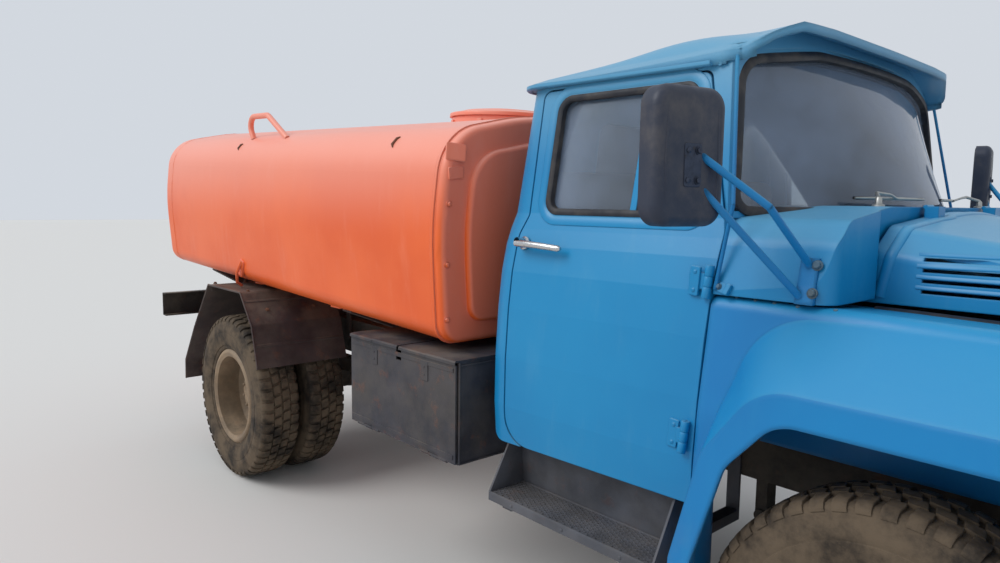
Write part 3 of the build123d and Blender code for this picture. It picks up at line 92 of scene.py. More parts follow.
class Paint:
    """One material's node tree; each call adds a node and gives back its output."""

    def __init__(self, name):
        self.material = bpy.data.materials.new(name)
        self.material.use_nodes = True
        self.tree = self.material.node_tree
        self.tree.nodes.clear()
        self.out = self.tree.nodes.new("ShaderNodeOutputMaterial")
        coordinates = self.tree.nodes.new("ShaderNodeTexCoord")
        self.place = coordinates.outputs["Object"]
        self.facing = coordinates.outputs["Normal"]

    def add(self, kind, inputs=(), **settings):
        """A node with its settings, and its inputs given as (name or index, value)."""
        node = self.tree.nodes.new(kind)
        for key, value in settings.items():
            setattr(node, key, value)
        for key, value in inputs:
            self.feed(node.inputs[key], value)
        return node

    def feed(self, socket, value):
        """Links an output to a socket, or sets the socket's own value."""
        if isinstance(value, bpy.types.NodeSocket):
            self.tree.links.new(value, socket)
        else:
            socket.default_value = value

    def noise(self, scale, detail=4, rough=0.55, stretch=None):
        """Cloudy noise from 0 to 1; scale is in features a metre, stretched along the axes."""
        place = self.place
        if stretch:
            place = self.add("ShaderNodeMapping", [("Vector", place), ("Scale", stretch)]).outputs[0]
        return self.add("ShaderNodeTexNoise", [
            ("Vector", place), ("Scale", scale), ("Detail", detail), ("Roughness", rough),
        ]).outputs["Fac"]

    def step(self, value, low, high, to_low=0.0, to_high=1.0):
        """Value taken smoothly from low..high to to_low..to_high, and held outside."""
        return self.add("ShaderNodeMapRange", [
            ("Value", value), ("From Min", low), ("From Max", high), ("To Min", to_low), ("To Max", to_high),
        ], interpolation_type="SMOOTHSTEP").outputs[0]

    def math(self, operation, a, b=0.0):
        """Arithmetic on two values."""
        return self.add("ShaderNodeMath", [(0, a), (1, b)], operation=operation).outputs[0]

    def times(self, a, b):
        """Two values multiplied."""
        return self.math("MULTIPLY", a, b)

    def mix(self, share, a, b):
        """Colour a where share is 0 and b where it is 1."""
        return self.add("ShaderNodeMix", [("Factor", share), (6, a), (7, b)], data_type="RGBA").outputs[2]

    def axis(self, name, vector=None):
        """One coordinate of the object's own place, or of another vector."""
        return self.add("ShaderNodeSeparateXYZ", [(0, vector or self.place)]).outputs[name]

    def bump(self, height, distance, strength=1.0, under=None):
        """A normal bent by a height in units of distance metres."""
        node = self.add("ShaderNodeBump", [
            ("Height", height), ("Distance", distance), ("Strength", strength),
        ])
        if under:
            self.feed(node.inputs["Normal"], under)
        return node.outputs[0]

    def finish(self, color, roughness, normal=None, **plain):
        """The surface shader; further sockets are given by name with _ for spaces."""
        shader = self.add("ShaderNodeBsdfPrincipled", [("Base Color", color), ("Roughness", roughness)])
        for key, value in plain.items():
            self.feed(shader.inputs[key.replace("_", " ")], value)
        if normal:
            self.feed(shader.inputs["Normal"], normal)
        self.tree.links.new(shader.outputs[0], self.out.inputs["Surface"])
        return self.material


def rgb(*shown):
    """A colour as a screen shows it, from 0 to 255, turned into the shader's linear values."""
    shares = [value / 255 for value in shown]
    return tuple(s / 12.92 if s < 0.04045 else ((s + 0.055) / 1.055) ** 2.4 for s in shares) + (1,)


DUST = rgb(150, 136, 118)
MUD = rgb(96, 82, 66)
RUST = rgb(112, 62, 38)


def enamel(name, color, faded, shade, dust=0.35, chips=0.5, high=(1.9, 2.3), ahead=None, soft=0.004):
    """Old enamel: faded on top, paler higher up, clouded, chipped at random, dusty low down, soft at edges;
    forward faces can take a painted shade tint.
    """
    p = Paint(name)
    clouds = p.noise(1.1)
    base = p.mix(p.step(clouds, 0.35, 0.68), color, shade)
    sun = p.times(p.step(p.axis("Z", p.facing), 0.1, 0.95), p.step(p.noise(2.2, 5), 0.2, 0.8, 0.5, 0.85))
    base = p.mix(sun, base, faded)
    # Paler higher up: mixed by height towards the faded colour.
    base = p.mix(p.step(p.math("ADD", p.axis("Z"), p.times(clouds, 0.12)), *high, 0, 0.75), base, faded)
    # Painted shade: faces turned forward are tinted with the ahead colour, standing in for a front lying in
    # shade under the sky.
    if ahead:
        base = p.mix(p.step(p.axis("X", p.facing), 0.6, 0.95, 0, 0.85), base, ahead)
    base = p.mix(p.step(p.noise(5, 5, 0.6, (3, 3, 0.6)), 0.5, 0.8, 0, 0.14), base, faded)
    grime = p.times(p.step(p.axis("Z"), 0.9, 0.4), p.step(p.noise(7, 6, 0.65), 0.3, 0.75))
    base = p.mix(p.times(grime, dust), base, DUST)
    specks = p.step(p.noise(34, 6, 0.72), 0.745 - 0.02 * chips, 0.76 - 0.02 * chips)
    flakes = p.step(p.noise(6, 9, 0.74), 0.755 - 0.03 * chips, 0.765 - 0.03 * chips)
    bare = p.math("MAXIMUM", specks, flakes)
    base = p.mix(p.times(bare, chips), base, RUST)
    fine = p.noise(70, 4, 0.6)
    roughness = p.step(p.math("ADD", clouds, p.times(fine, 0.3)), 0.4, 1.0, 0.34, 0.5)
    height = p.math("ADD", p.times(fine, 0.25), p.times(p.noise(9, 3), 0.9))
    eased = p.add("ShaderNodeBevel", [("Radius", soft)], samples=4).outputs[0]
    normal = p.bump(p.math("SUBTRACT", height, p.times(bare, 0.4)), 0.0012, 0.4, eased)
    return p.finish(base, roughness, normal, Specular_IOR_Level=0.4, Coat_Weight=0.08, Coat_Roughness=0.25)


def old_steel(name, color, dust, rust, low=0.9):
    """Dark painted or bare steel under dust, with rust in patches and mud low down."""
    p = Paint(name)
    clouds = p.noise(5, 6, 0.62)
    base = p.mix(p.step(clouds, 0.3, 0.7), color, tuple(c * 1.9 for c in color[:3]) + (1,))
    patches = p.step(p.noise(11, 8, 0.7), 0.56, 0.68)
    base = p.mix(p.times(patches, rust), base, RUST)
    up = p.step(p.axis("Z", p.facing), 0.3, 0.9, 0.35, 1)
    base = p.mix(p.times(p.times(p.step(p.noise(4, 7, 0.66), 0.34, 0.66), up), dust), base, DUST)
    wet = p.step(p.axis("Z"), low, low - 0.7)
    base = p.mix(p.times(wet, p.step(p.noise(16, 6, 0.7), 0.35, 0.75, 0, dust)), base, MUD)
    normal = p.bump(p.math("ADD", p.noise(90, 5, 0.65), p.times(patches, 0.8)), 0.0012, 0.6)
    return p.finish(base, p.step(clouds, 0.3, 0.7, 0.55, 0.8), normal, Specular_IOR_Level=0.35)


def dusty_rubber(name, clean, dusty, share):
    """Tyre rubber with dry dirt in clouds."""
    p = Paint(name)
    clouds = p.noise(6, 7, 0.66)
    base = p.mix(p.times(p.step(clouds, 0.32, 0.62), share), clean, dusty)
    base = p.mix(p.step(p.noise(40, 6, 0.7), 0.55, 0.75, 0, 0.5), base, MUD)
    normal = p.bump(p.noise(120, 5, 0.7), 0.001, 0.6)
    return p.finish(base, p.step(clouds, 0.3, 0.7, 0.72, 0.95), normal, Specular_IOR_Level=0.2)


def pane(name, tint, dust, dust_and_sky_tint=(150, 165, 188), roughness=0.03):
    """Glass with a film of dust, thicker in clouds; the film's default blue is a painted sky reflection."""
    p = Paint(name)
    film = p.step(p.noise(2.6, 4, 0.6), 0.3, 0.75, *dust)
    through = p.add("ShaderNodeBsdfTransparent", [("Color", tint)]).outputs[0]
    gloss = p.add("ShaderNodeBsdfGlossy", [("Color", (1, 1, 1, 1)), ("Roughness", roughness)]).outputs[0]
    # The film's colour is dust, and in its default blue also a painted sky reflection.
    dull = p.add("ShaderNodeBsdfDiffuse", [("Color", rgb(*dust_and_sky_tint))]).outputs[0]
    fresnel = p.add("ShaderNodeFresnel", [("IOR", 1.5)]).outputs[0]
    clear = p.add("ShaderNodeMixShader", [(0, fresnel), (1, through), (2, gloss)]).outputs[0]
    both = p.add("ShaderNodeMixShader", [(0, film), (1, clear), (2, dull)]).outputs[0]
    p.tree.links.new(both, p.out.inputs["Surface"])
    return p.material


def moulded(name, color, roughness, grain=180, depth=0.0004):
    """Plastic or vinyl with a fine grain and a little dust."""
    p = Paint(name)
    base = p.mix(p.step(p.noise(7, 6, 0.66), 0.4, 0.75, 0, 0.35), color, DUST)
    base = p.mix(0.55, color, base)
    normal = p.bump(p.noise(grain, 4, 0.6), depth, 0.6)
    return p.finish(base, p.step(p.noise(12, 5), 0.3, 0.7, roughness - 0.08, roughness + 0.1), normal)


def bright_metal(name, color, roughness):
    """Plated or bare bright metal with fine scratches and dull spots."""
    p = Paint(name)
    dull = p.noise(60, 6, 0.7)
    base = p.mix(p.step(dull, 0.55, 0.75, 0, 0.6), color, rgb(92, 84, 76))
    normal = p.bump(p.noise(220, 4, 0.6), 0.0003, 0.5)
    return p.finish(base, p.step(dull, 0.35, 0.7, roughness, roughness + 0.25), normal, Metallic=1.0)


def lens(name, color, middle=None, behind=None):
    """A ribbed plastic lens, faded and dusty; the middle lamp and the ones at the rear may differ."""
    p = Paint(name)
    if middle:
        color = p.mix(p.step(p.math("ABSOLUTE", p.axis("Y")), 0.10, 0.11), middle, color)
        color = p.mix(p.step(p.axis("X"), -2.0, -1.9), behind, color)
    base = p.mix(p.step(p.noise(30, 5), 0.4, 0.8, 0, 0.5), color, DUST)
    ribs = p.add("ShaderNodeTexWave", [("Vector", p.place), ("Scale", 60)]).outputs["Fac"]
    return p.finish(base, 0.25, p.bump(ribs, 0.0008, 0.5), Transmission_Weight=0.25)


CAB_BLUE = enamel("cab_enamel", rgb(14, 132, 184), rgb(94, 156, 188), rgb(2, 122, 176), soft=0.006)
ROOF_BLUE = enamel("roof_enamel", rgb(14, 132, 184), rgb(100, 158, 188), rgb(4, 118, 170), soft=0.040)
FENDER_BLUE = enamel("fender_enamel", rgb(0, 124, 184), rgb(40, 146, 190), rgb(0, 114, 176), chips=0.4,
                     soft=0.022)
# The tank's ahead colour is a painted shade tint for its forward faces.
TANK_ORANGE = enamel("tank_enamel", rgb(238, 104, 42), rgb(242, 160, 140), rgb(226, 90, 30), dust=0.15,
                     chips=0.25, high=(1.62, 2.12), ahead=rgb(236, 122, 92), soft=0.010)
BODY_STEEL = old_steel("dark_steel", rgb(52, 42, 42), dust=0.4, rust=0.3)
BOX_STEEL = old_steel("box_steel", rgb(44, 44, 50), dust=0.35, rust=0.35)
CHASSIS_BLACK = old_steel("chassis_paint", rgb(34, 31, 29), dust=0.5, rust=0.3)
IRON = old_steel("oily_iron", rgb(58, 55, 50), dust=0.3, rust=0.35)
RUSTY = old_steel("rusty_steel", rgb(88, 56, 40), dust=0.3, rust=0.8)
STEP_STEEL = old_steel("step_steel", rgb(62, 64, 70), dust=0.2, rust=0.15, low=0.3)
WHEEL_PAINT = old_steel("wheel_dust", rgb(116, 98, 78), dust=0.75, rust=0.2)
FLOOR_DARK = old_steel("floor_paint", rgb(30, 44, 58), dust=0.4, rust=0.3)
BUMPER_PAINT = old_steel("bumper_paint", rgb(40, 40, 42), dust=0.3, rust=0.2)
RUBBER = dusty_rubber("tyre_rubber", rgb(38, 34, 31), rgb(112, 97, 80), 0.75)
SEAL = moulded("seal_rubber", rgb(20, 24, 34), 0.6)
BLACK = moulded("black_plastic", rgb(28, 28, 31), 0.45)
MIRROR_BLACK = moulded("mirror_plastic", rgb(34, 42, 60), 0.5)
VINYL = moulded("seat_vinyl", rgb(60, 46, 38), 0.5, 120, 0.0008)
DASH = enamel("dash_enamel", rgb(52, 82, 100), rgb(84, 104, 112), rgb(44, 70, 88), chips=0.3)
# The window glass keeps the blue film: dust with a painted sky reflection.
GLASS = pane("window_glass", (0.86, 0.9, 0.92, 1), (0.1, 0.34))
LAMP_GLASS = pane("lamp_glass", (0.9, 0.9, 0.88, 1), (0.15, 0.35), (190, 190, 184), 0.1)
AMBER = lens("amber_lens", rgb(206, 128, 58), rgb(214, 196, 158), rgb(150, 34, 26))
CHROME = bright_metal("worn_chrome", rgb(200, 200, 200), 0.15)
SILVER = bright_metal("silver_paint", rgb(176, 176, 172), 0.35)
CLAMP_STEEL = bright_metal("clamp_steel", rgb(74, 80, 94), 0.5)
MIRROR_PANE = bright_metal("mirror_pane", rgb(214, 216, 218), 0.04)
RUSTY_BLUE = enamel("bolt_enamel", rgb(40, 108, 148), rgb(90, 128, 150), rgb(70, 84, 90), chips=1.0)
TAIL_LENS = lens("tail_lens", rgb(150, 34, 26))

FINISH = {
    ROOF_BLUE: "cab_roof",
    CAB_BLUE: "cab_back cab_front cowl door_left door_right hood grille",
    FENDER_BLUE: "front_fenders mirror_arms",
    TANK_ORANGE: "tank hatch_lid outlet_pipe",
    BODY_STEEL: "rear_fenders tank_saddles",
    BOX_STEEL: "toolbox toolbox_door",
    CHASSIS_BLACK: "frame_rails crossmembers leaf_springs front_axle rear_axle knuckle_left knuckle_right"
                   " tie_rod pitman_arm drag_link steering_gear fuel_tank radiator",
    IRON: "engine driveline",
    RUSTY: "exhaust",
    STEP_STEEL: "steps",
    WHEEL_PAINT: "wheel_front_left wheel_front_right wheels_rear_left wheels_rear_right",
    FLOOR_DARK: "cab_floor",
    BUMPER_PAINT: "front_bumper",
    RUBBER: "tyre_front_left tyre_front_right tyres_rear_left tyres_rear_right",
    BLACK: "steering_wheel",
    MIRROR_BLACK: "mirrors",
    VINYL: "seat",
    DASH: "dashboard",
    GLASS: "cab_glass door_glass_left door_glass_right",
    LAMP_GLASS: "headlamps",
    AMBER: "marker_lamps",
}


def coat(thing, material):
    """Gives every slot of an object one material."""
    for slot in thing.material_slots:
        slot.material = material


for finish, names in FINISH.items():
    for node in names.split():
        coat(NODES[node], finish)


# Building pieces

def dress(name, mesh, material, body):
    """A smooth mesh as an object that rides on a body and takes a slot's finish."""
    mesh.materials.append(material)
    for polygon in mesh.polygons:
        polygon.use_smooth = True
    thing = put(name, mesh)
    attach(thing, body)
    return thing


def piece(name, points, faces, material, body):
    """An object made of points and faces."""
    mesh = bpy.data.meshes.new(name)
    mesh.from_pydata([tuple(p) for p in points], [], faces)
    mesh.validate()
    return dress(name, mesh, material, body)


def sharpen(thing, angle):
    """Keeps edges sharper than an angle in degrees crisp under smooth shading."""
    thing.data.set_sharp_from_angle(angle=radians(angle))


class Shape:
    """Points and faces gathered for one piece, in metres from the front axle."""

    def __init__(self):
        self.points, self.faces = [], []

    def add(self, points, faces):
        """Takes in points and the faces between them."""
        start = len(self.points)
        self.points += [Vector(p) for p in points]
        self.faces += [tuple(start + i for i in face) for face in faces]

    def rings(self, rings, closed=False, turn=1):
        """Joins rows of points, each a ring or strip as long as the first."""
        count, width = len(rings), len(rings[0])
        faces = []
        for k in range(count if closed else count - 1):
            here, there = k * width, (k + 1) % count * width
            for j in range(width - 1):
                faces.append((here + j, here + j + 1, there + j + 1, there + j)[::turn])
        self.add([p for ring in rings for p in ring], faces)

    def band(self, path, normals, profile, closed=False):
        """Carries a profile of (across, out) along a path that has a normal at each point."""
        rings = []
        for k, (place, normal) in enumerate(zip(path, normals)):
            back = path[k - 1] if closed or k else place
            ahead = path[(k + 1) % len(path)] if closed or k < len(path) - 1 else place
            across = (Vector(ahead) - Vector(back)).cross(normal).normalized()
            rings.append([Vector(place) + across * b + Vector(normal) * n for b, n in profile])
        self.rings(rings, closed)

    def tube(self, path, radius, sides=10):
        """A round bar along a path, with flat ends; radius is one number or one for each point."""
        path = [Vector(p) for p in path]
        radii = radius if isinstance(radius, (list, tuple)) else [radius] * len(path)
        spoke, points, last = None, [], len(path) - 1
        for k, place in enumerate(path):
            along = (path[min(k + 1, last)] - path[max(k - 1, 0)]).normalized()
            spoke = along.orthogonal() if spoke is None else spoke - along * spoke.dot(along)
            spoke.normalize()
            other = along.cross(spoke)
            for j in range(sides):
                a = 2 * pi * j / sides
                points.append(place + (spoke * cos(a) + other * sin(a)) * radii[k])
        faces = [tuple(range(sides))[::-1], tuple(last * sides + j for j in range(sides))]
        for k in range(last):
            for j in range(sides):
                n = (j + 1) % sides
                faces.append((k * sides + j, k * sides + n, (k + 1) * sides + n, (k + 1) * sides + j))
        self.add(points, faces)

    def turned(self, rows, place, axis, around=32):
        """A lathe form through rows of (distance along the axis, radius)."""
        axis = Vector(axis).normalized()
        spoke = axis.orthogonal().normalized()
        other = axis.cross(spoke)
        rings = []
        for along, radius in rows:
            middle = Vector(place) + axis * along
            rings.append([middle + (spoke * cos(a) + other * sin(a)) * radius
                          for a in [2 * pi * j / around for j in range(around + 1)]])
        self.rings(rings)

    def nut(self, place, normal, across=0.017):
        """A hexagon head with a chamfered top, on a washer."""
        corner = across / sqrt(3)
        self.turned([(-0.003, corner * 1.35), (0.0022, corner * 1.35), (0.0022, corner * 0.9)],
                    place, normal, 20)
        self.turned([(0.001, corner), (across * 0.5, corner), (across * 0.6, corner * 0.84),
                     (across * 0.6, 0.0005)], place, normal, 6)

    def rivet(self, place, normal, radius=0.006):
        """A low round head."""
        self.turned([(-0.002, radius), (radius * 0.25, radius * 0.95), (radius * 0.5, radius * 0.6),
                     (radius * 0.58, 0.0003)], place, normal, 14)

    def slab(self, outline, place, u, v, thick, bevel=0.0015):
        """A plate of (a, b) points in the plane of u and v, thick along u x v, with eased edges."""
        u, v = Vector(u).normalized(), Vector(v).normalized()
        out = u.cross(v).normalized()
        middle = sum((Vector(p) for p in outline), Vector((0, 0))) / len(outline)
        rows = []
        for rise, ease in ((-0.003, 0), (thick - bevel, 0), (thick, bevel)):
            row = []
            for p in outline:
                p = Vector(p)
                p -= (p - middle).normalized() * ease
                row.append(Vector(place) + u * p.x + v * p.y + out * rise)
            rows.append(row + row[:1])
        self.rings(rows)
        self.add(rows[-1][:-1], [tuple(range(len(outline)))])

    def make(self, name, material, slot_name, body="chassis"):
        """The gathered piece as an object."""
        made = piece(name, [p + AXLE_FOOT for p in self.points], self.faces, material, body)
        sharpen(made, 35)
        return made


def rounded(rows, steps=6):
    """Points round a closed outline given as (a, b, corner radius)."""
    points = []
    for k, (a, b, radius) in enumerate(rows):
        corner = Vector((a, b))
        back = (Vector(rows[k - 1][:2]) - corner).normalized()
        ahead = (Vector(rows[(k + 1) % len(rows)][:2]) - corner).normalized()
        if radius == 0:
            points.append(corner)
            continue
        half = back.angle(ahead) / 2
        reach = radius / tan(half)
        centre = corner + (back + ahead).normalized() * (radius / sin(half))
        first, last = corner + back * reach - centre, corner + ahead * reach - centre
        for j in range(steps + 1):
            spoke = first.lerp(last, j / steps)
            points.append(centre + spoke.normalized() * radius)
    return points


def dense(outline, gap):
    """A closed outline with more points, none further apart than the gap."""
    points = []
    for k, a in enumerate(outline):
        b = outline[(k + 1) % len(outline)]
        cuts = max(1, ceil((b - a).length / gap))
        points += [a.lerp(b, j / cuts) for j in range(cuts)]
    return points


def rectangle(width, height, radius=0.004):
    """A rectangle with round corners about its middle, counter-clockwise."""
    a, b = width / 2, height / 2
    return rounded([(-a, -b, radius), (a, -b, radius), (a, b, radius), (-a, b, radius)], 3)


def circle(count, radius, start=0.5):
    """Points (across, up) spread round a circle, the first one start of their gap past its top."""
    return [(radius * sin(a), radius * cos(a)) for a in [2 * pi * (k + start) / count for k in range(count)]]


def both_sides(place, normal):
    """A place and its normal, mirrored to the other side and as they are."""
    return [(place * flip, normal * flip) for flip in (Vector((1, -1, 1)), Vector((1, 1, 1)))]


def mirrored(half):
    """Rows that start with a distance across, followed by their mirror image in reverse."""
    return half + tuple((-row[0], *row[1:]) for row in half[::-1])


def held(value):
    """A value held between 0 and 1."""
    return max(0.0, min(1.0, value))


# Seating pieces on the solids

def skin(*nodes):
    """The surface of some nodes, in metres from the front axle."""
    points, faces = [], []
    for node in nodes:
        mesh = NODES[node].data
        start = len(points)
        points += [v.co - AXLE_FOOT for v in mesh.vertices]
        faces += [[start + i for i in polygon.vertices] for polygon in mesh.polygons]
    return BVHTree.FromPolygons(points, faces)


def touch(tree, start, toward):
    """Where a line from start first meets a surface, and the surface's normal there."""
    toward = Vector(toward).normalized()
    place, normal, _, _ = tree.ray_cast(Vector(start), toward)
    if place is None:
        raise ValueError(f"nothing lies beyond {tuple(start)} towards {tuple(toward)}")
    return place, (normal if normal.dot(toward) < 0 else -normal)


def seen(tree, across, down):
    """Where the photograph's pixel (across, down) falls on a surface, and the normal there."""
    turn = bpy.context.scene.camera.matrix_world
    line = turn.to_3x3() @ Vector((across - MIDDLE[0], MIDDLE[1] - down, -FOCAL))
    return touch(tree, turn.translation - AXLE_FOOT, line)


def frame_on(normal, lead=(0, 0, 1)):
    """Two directions in a surface, the second as near to lead as it can be."""
    normal = Vector(normal).normalized()
    second = (Vector(lead) - normal * normal.dot(Vector(lead))).normalized()
    return second.cross(normal), second


# Height, and how much narrower the cab's half is there.
CAB_CUTS = (
    (0.816, 0.010), (0.960, 0.0), (1.150, 0.002), (1.340, 0.014), (1.480, 0.031), (1.580, 0.054),
    (1.640, 0.073), (1.700, 0.090), (2.180, 0.160), (2.440, 0.196),
)


DOOR_REAR = -1.384
TAPER = 45 / 801


def tapered(half, x):
    """The half width at x of something that is half wide at the doors' rear edges."""
    return half - (x - DOOR_REAR) * TAPER


def wall_y(x, z):
    """The cab side's distance from the middle."""
    for (low, a), (high, b) in zip(CAB_CUTS, CAB_CUTS[1:]):
        if z < high:
            break
    return tapered(1.028 - a - (b - a) * (z - low) / (high - low), x)


def side_band(shape, side, outline, profile, closed=True):
    """Carries a profile of (outward, proud) round an outline of (x, z) on the cab's side."""
    rings = []
    for k, spot in enumerate(outline):
        back = outline[k - 1] if closed or k else spot
        ahead = outline[(k + 1) % len(outline)] if closed or k < len(outline) - 1 else spot
        run = (ahead - back).normalized()
        ring = []
        for b, n in profile:
            p = spot + Vector((run.y, -run.x)) * b
            ring.append((p.x, side * (wall_y(p.x, p.y) + n), p.y))
        rings.append(ring)
    shape.rings(rings, closed, side)


def screen_x(y, z):
    """The windscreen surface's place along X: an arc, and past its turn a line that eases off."""
    share = (z - 1.700) / 0.560
    mid, end, half, turn = -0.270 - 0.250 * share, -0.530 - 0.075 * share, 0.8, 0.74
    rise = mid - end
    radius = (half * half + rise * rise) / (2 * rise)
    inside = min(abs(y), turn)
    past = abs(y) - inside
    drop = sqrt(radius * radius - inside * inside)
    slope = turn / drop
    return mid - radius + drop - slope * past + (slope - 0.25) * past * past / 0.24


def rear_pane_x(z):
    """The rear pane's outer face along X."""
    return -1.500 + (z - 1.700) * 0.026 / 0.480


def cross_band(shape, outline, surface_x, profile, turn=1):
    """Carries a profile of (outward, ahead) round a closed outline of (y, z) on a cross surface."""
    rings = []
    for k, spot in enumerate(outline):
        run = (outline[(k + 1) % len(outline)] - outline[k - 1]).normalized()
        ring = []
        for b, n in profile:
            p = spot + Vector((run.y, -run.x)) * b
            ring.append((surface_x(p.x, p.y) + n * turn, p.x, p.y))
        rings.append(ring)
    shape.rings(rings, True, turn)


# Tyres

TREAD_R = 0.507
GROOVE_R = 0.494
# Radius, and distance from the tyre's middle plane.
TYRE_SIDE = (
    (0.2575, 0.0885), (0.294, 0.0885), (0.297, 0.099), (0.303, 0.104), (0.311, 0.1045), (0.314, 0.1065),
    (0.320, 0.1065), (0.323, 0.112), (0.350, 0.1215), (0.380, 0.1258), (0.398, 0.1262), (0.400, 0.1245),
    (0.404, 0.1245), (0.406, 0.1256), (0.430, 0.1232), (0.452, 0.1175), (0.470, 0.1125), (0.482, 0.1075),
    (0.490, 0.098), (0.4935, 0.080), (GROOVE_R, 0.045),
)
# Tread blocks of one pitch: middle, half width and the points (y, shift), in shares of the pitch.
BLOCK_ROWS = (
    (0.0, 0.37, ((0.006, 0.10), (0.026, 0.0), (0.046, -0.08))),
    (0.5, 0.37, ((-0.006, -0.10), (-0.026, 0.0), (-0.046, 0.08))),
    (0.42, 0.33, ((0.054, 0.0), (0.078, -0.05), (0.096, 0.0), (0.108, 0.0), (0.1155, 0.0))),
    (0.92, 0.33, ((-0.054, 0.0), (-0.078, 0.05), (-0.096, 0.0), (-0.108, 0.0), (-0.1155, 0.0))),
)


def crown(y):
    """The worn tread's outer radius at a distance y from the middle plane."""
    y = abs(y)
    if y < 0.092:
        return TREAD_R - 0.5 * y * y
    return TREAD_R - 0.0042 - (y - 0.092) * 0.55 - (max(0, y - 0.104) ** 2) * 60


def tyre_mesh(points, faces, centre, pitches=50, around=100):
    """Adds one tyre's carcass and tread blocks to the point and face lists."""
    x0, y0 = centre

    def spin(radius, y, angle):
        points.append((x0 + radius * sin(angle), y0 + y, AXLE_Z + radius * cos(angle)))
        return len(points) - 1

    profile = [(r, -y) for r, y in TYRE_SIDE] + [(r, y) for r, y in reversed(TYRE_SIDE)]
    rings = [[spin(r, y, 2 * pi * k / around) for r, y in profile] for k in range(around)]
    for k in range(around):
        here, there = rings[k], rings[(k + 1) % around]
        for j in range(len(profile)):
            n = (j + 1) % len(profile)
            faces.append((here[j], here[n], there[n], there[j]))
    pitch = 2 * pi / pitches
    for k in range(pitches):
        for middle, half, line in BLOCK_ROWS:
            strips = []
            for y, shift in line:
                mid = (k + middle + shift) * pitch
                top = crown(y)
                side, inset = half * pitch, (half - 0.03) * pitch
                foot = min(GROOVE_R - 0.003, top - 0.010)
                strips.append([
                    spin(foot, y, mid - side), spin(top - 0.0018, y, mid - side), spin(top, y, mid - inset),
                    spin(top, y, mid + inset), spin(top - 0.0018, y, mid + side), spin(foot, y, mid + side),
                ])
            turn = 1 if line[-1][0] > line[0][0] else -1
            for here, there in zip(strips, strips[1:]):
                for j in range(5):
                    quad = (here[j], here[j + 1], there[j + 1], there[j])
                    faces.append(quad[::turn])
            faces.append(tuple(strips[0][::-turn]))
            faces.append(tuple(strips[-1][::turn]))


def tyres(name, body, node, centres):
    """The detailed tyres of one wheel body in place of their plain solids."""
    points, faces = [], []
    for centre in centres:
        tyre_mesh(points, faces, centre)
    made = piece(name, points, faces, RUBBER, body)
    sharpen(made, 35)
    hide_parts(node)


for side, word in SIDES:
    tyres(f"tread_front_{word}", f"wheel_front_{word}", f"tyre_front_{word}", [(FRONT, side * FRONT_TYRE_Y)])
    tyres(f"tread_rear_{word}", f"wheels_rear_{word}", f"tyres_rear_{word}",
          [(FRONT + REAR_AXLE, side * y) for y in REAR_TYRE_Y])


# Cab fittings

GUM = ((0.013, -0.001), (0.0115, 0.004), (0.005, 0.0068), (-0.004, 0.0062), (-0.010, 0.002), (-0.011, -0.006),
       (-0.011, -0.019))
RIM = ((0.050, -0.002), (0.0492, 0.0022), (0.044, 0.0042), (0.026, 0.0045), (0.019, 0.003), (0.013, -0.001))
WINDOW = ((-0.655, 1.708, 0.030), (-0.714, 2.118, 0.040), (-1.264, 2.118, 0.050), (-1.274, 1.708, 0.045))
DIVIDER = ((-0.897, 1.702), (-0.878, 2.121))
SCREEN = mirrored(((0.864, 1.722, 0.050), (0.792, 2.215, 0.100), (0.400, 2.268, 0.500)))
SCREEN_GUM = mirrored(((0.860, 1.722, 0.050), (0.786, 2.183, 0.110), (0.400, 2.240, 0.500)))
REAR_WINDOW = mirrored(((0.480, 1.740, 0.060), (0.460, 2.080, 0.060)))


def window_trim(side, word):
    """The pressed rim, the rubber and the divider's channel of one door's window."""
    outline = dense(rounded(WINDOW, 8), 0.05)
    rim = Shape()
    side_band(rim, side, outline, RIM)
    rim.make(f"window_rim_{word}", CAB_BLUE, "cab_blue", f"door_{word}")
    gum = Shape()
    side_band(gum, side, outline, GUM)
    low, high = Vector(DIVIDER[0]), Vector(DIVIDER[1])
    upright = [low.lerp(high, k / 6) for k in range(7)]
    channel = mirrored(((0.0165, -0.052), (0.0165, -0.006), (0.0135, -0.004), (0.011, -0.001),
                        (0.006, -0.003)))
    side_band(gum, side, upright, channel, False)
    gum.make(f"window_gum_{word}", SEAL, "black_plastic", f"door_{word}")


def screen_trim():
    """The rubber round the windscreen under its header, and the one round the rear pane."""
    gum, header = Shape(), Shape()
    outline = dense(rounded(SCREEN_GUM, 10), 0.04)
    cross_band(gum, outline, screen_x, [(b * 1.3, n * 1.2) for b, n in GUM])
    rings = []
    for upper, lower in zip(rounded(SCREEN, 24), rounded(SCREEN_GUM, 24)):
        if upper.y > 1.95:
            upper = upper + Vector((upper.x, upper.y - 1.9)).normalized() * 0.012
            rings.append([(screen_x(p.x, p.y) + 0.0025, p.x, p.y)
                          for p in (upper, upper.lerp(lower, 0.5), lower)])
    header.rings(rings)
    header.make("screen_header", CAB_BLUE, "cab_blue")
    back = dense(rounded(REAR_WINDOW, 8), 0.1)
    cross_band(gum, back, lambda _, z: rear_pane_x(z), GUM, -1)
    gum.make("screen_gum", SEAL, "black_plastic")


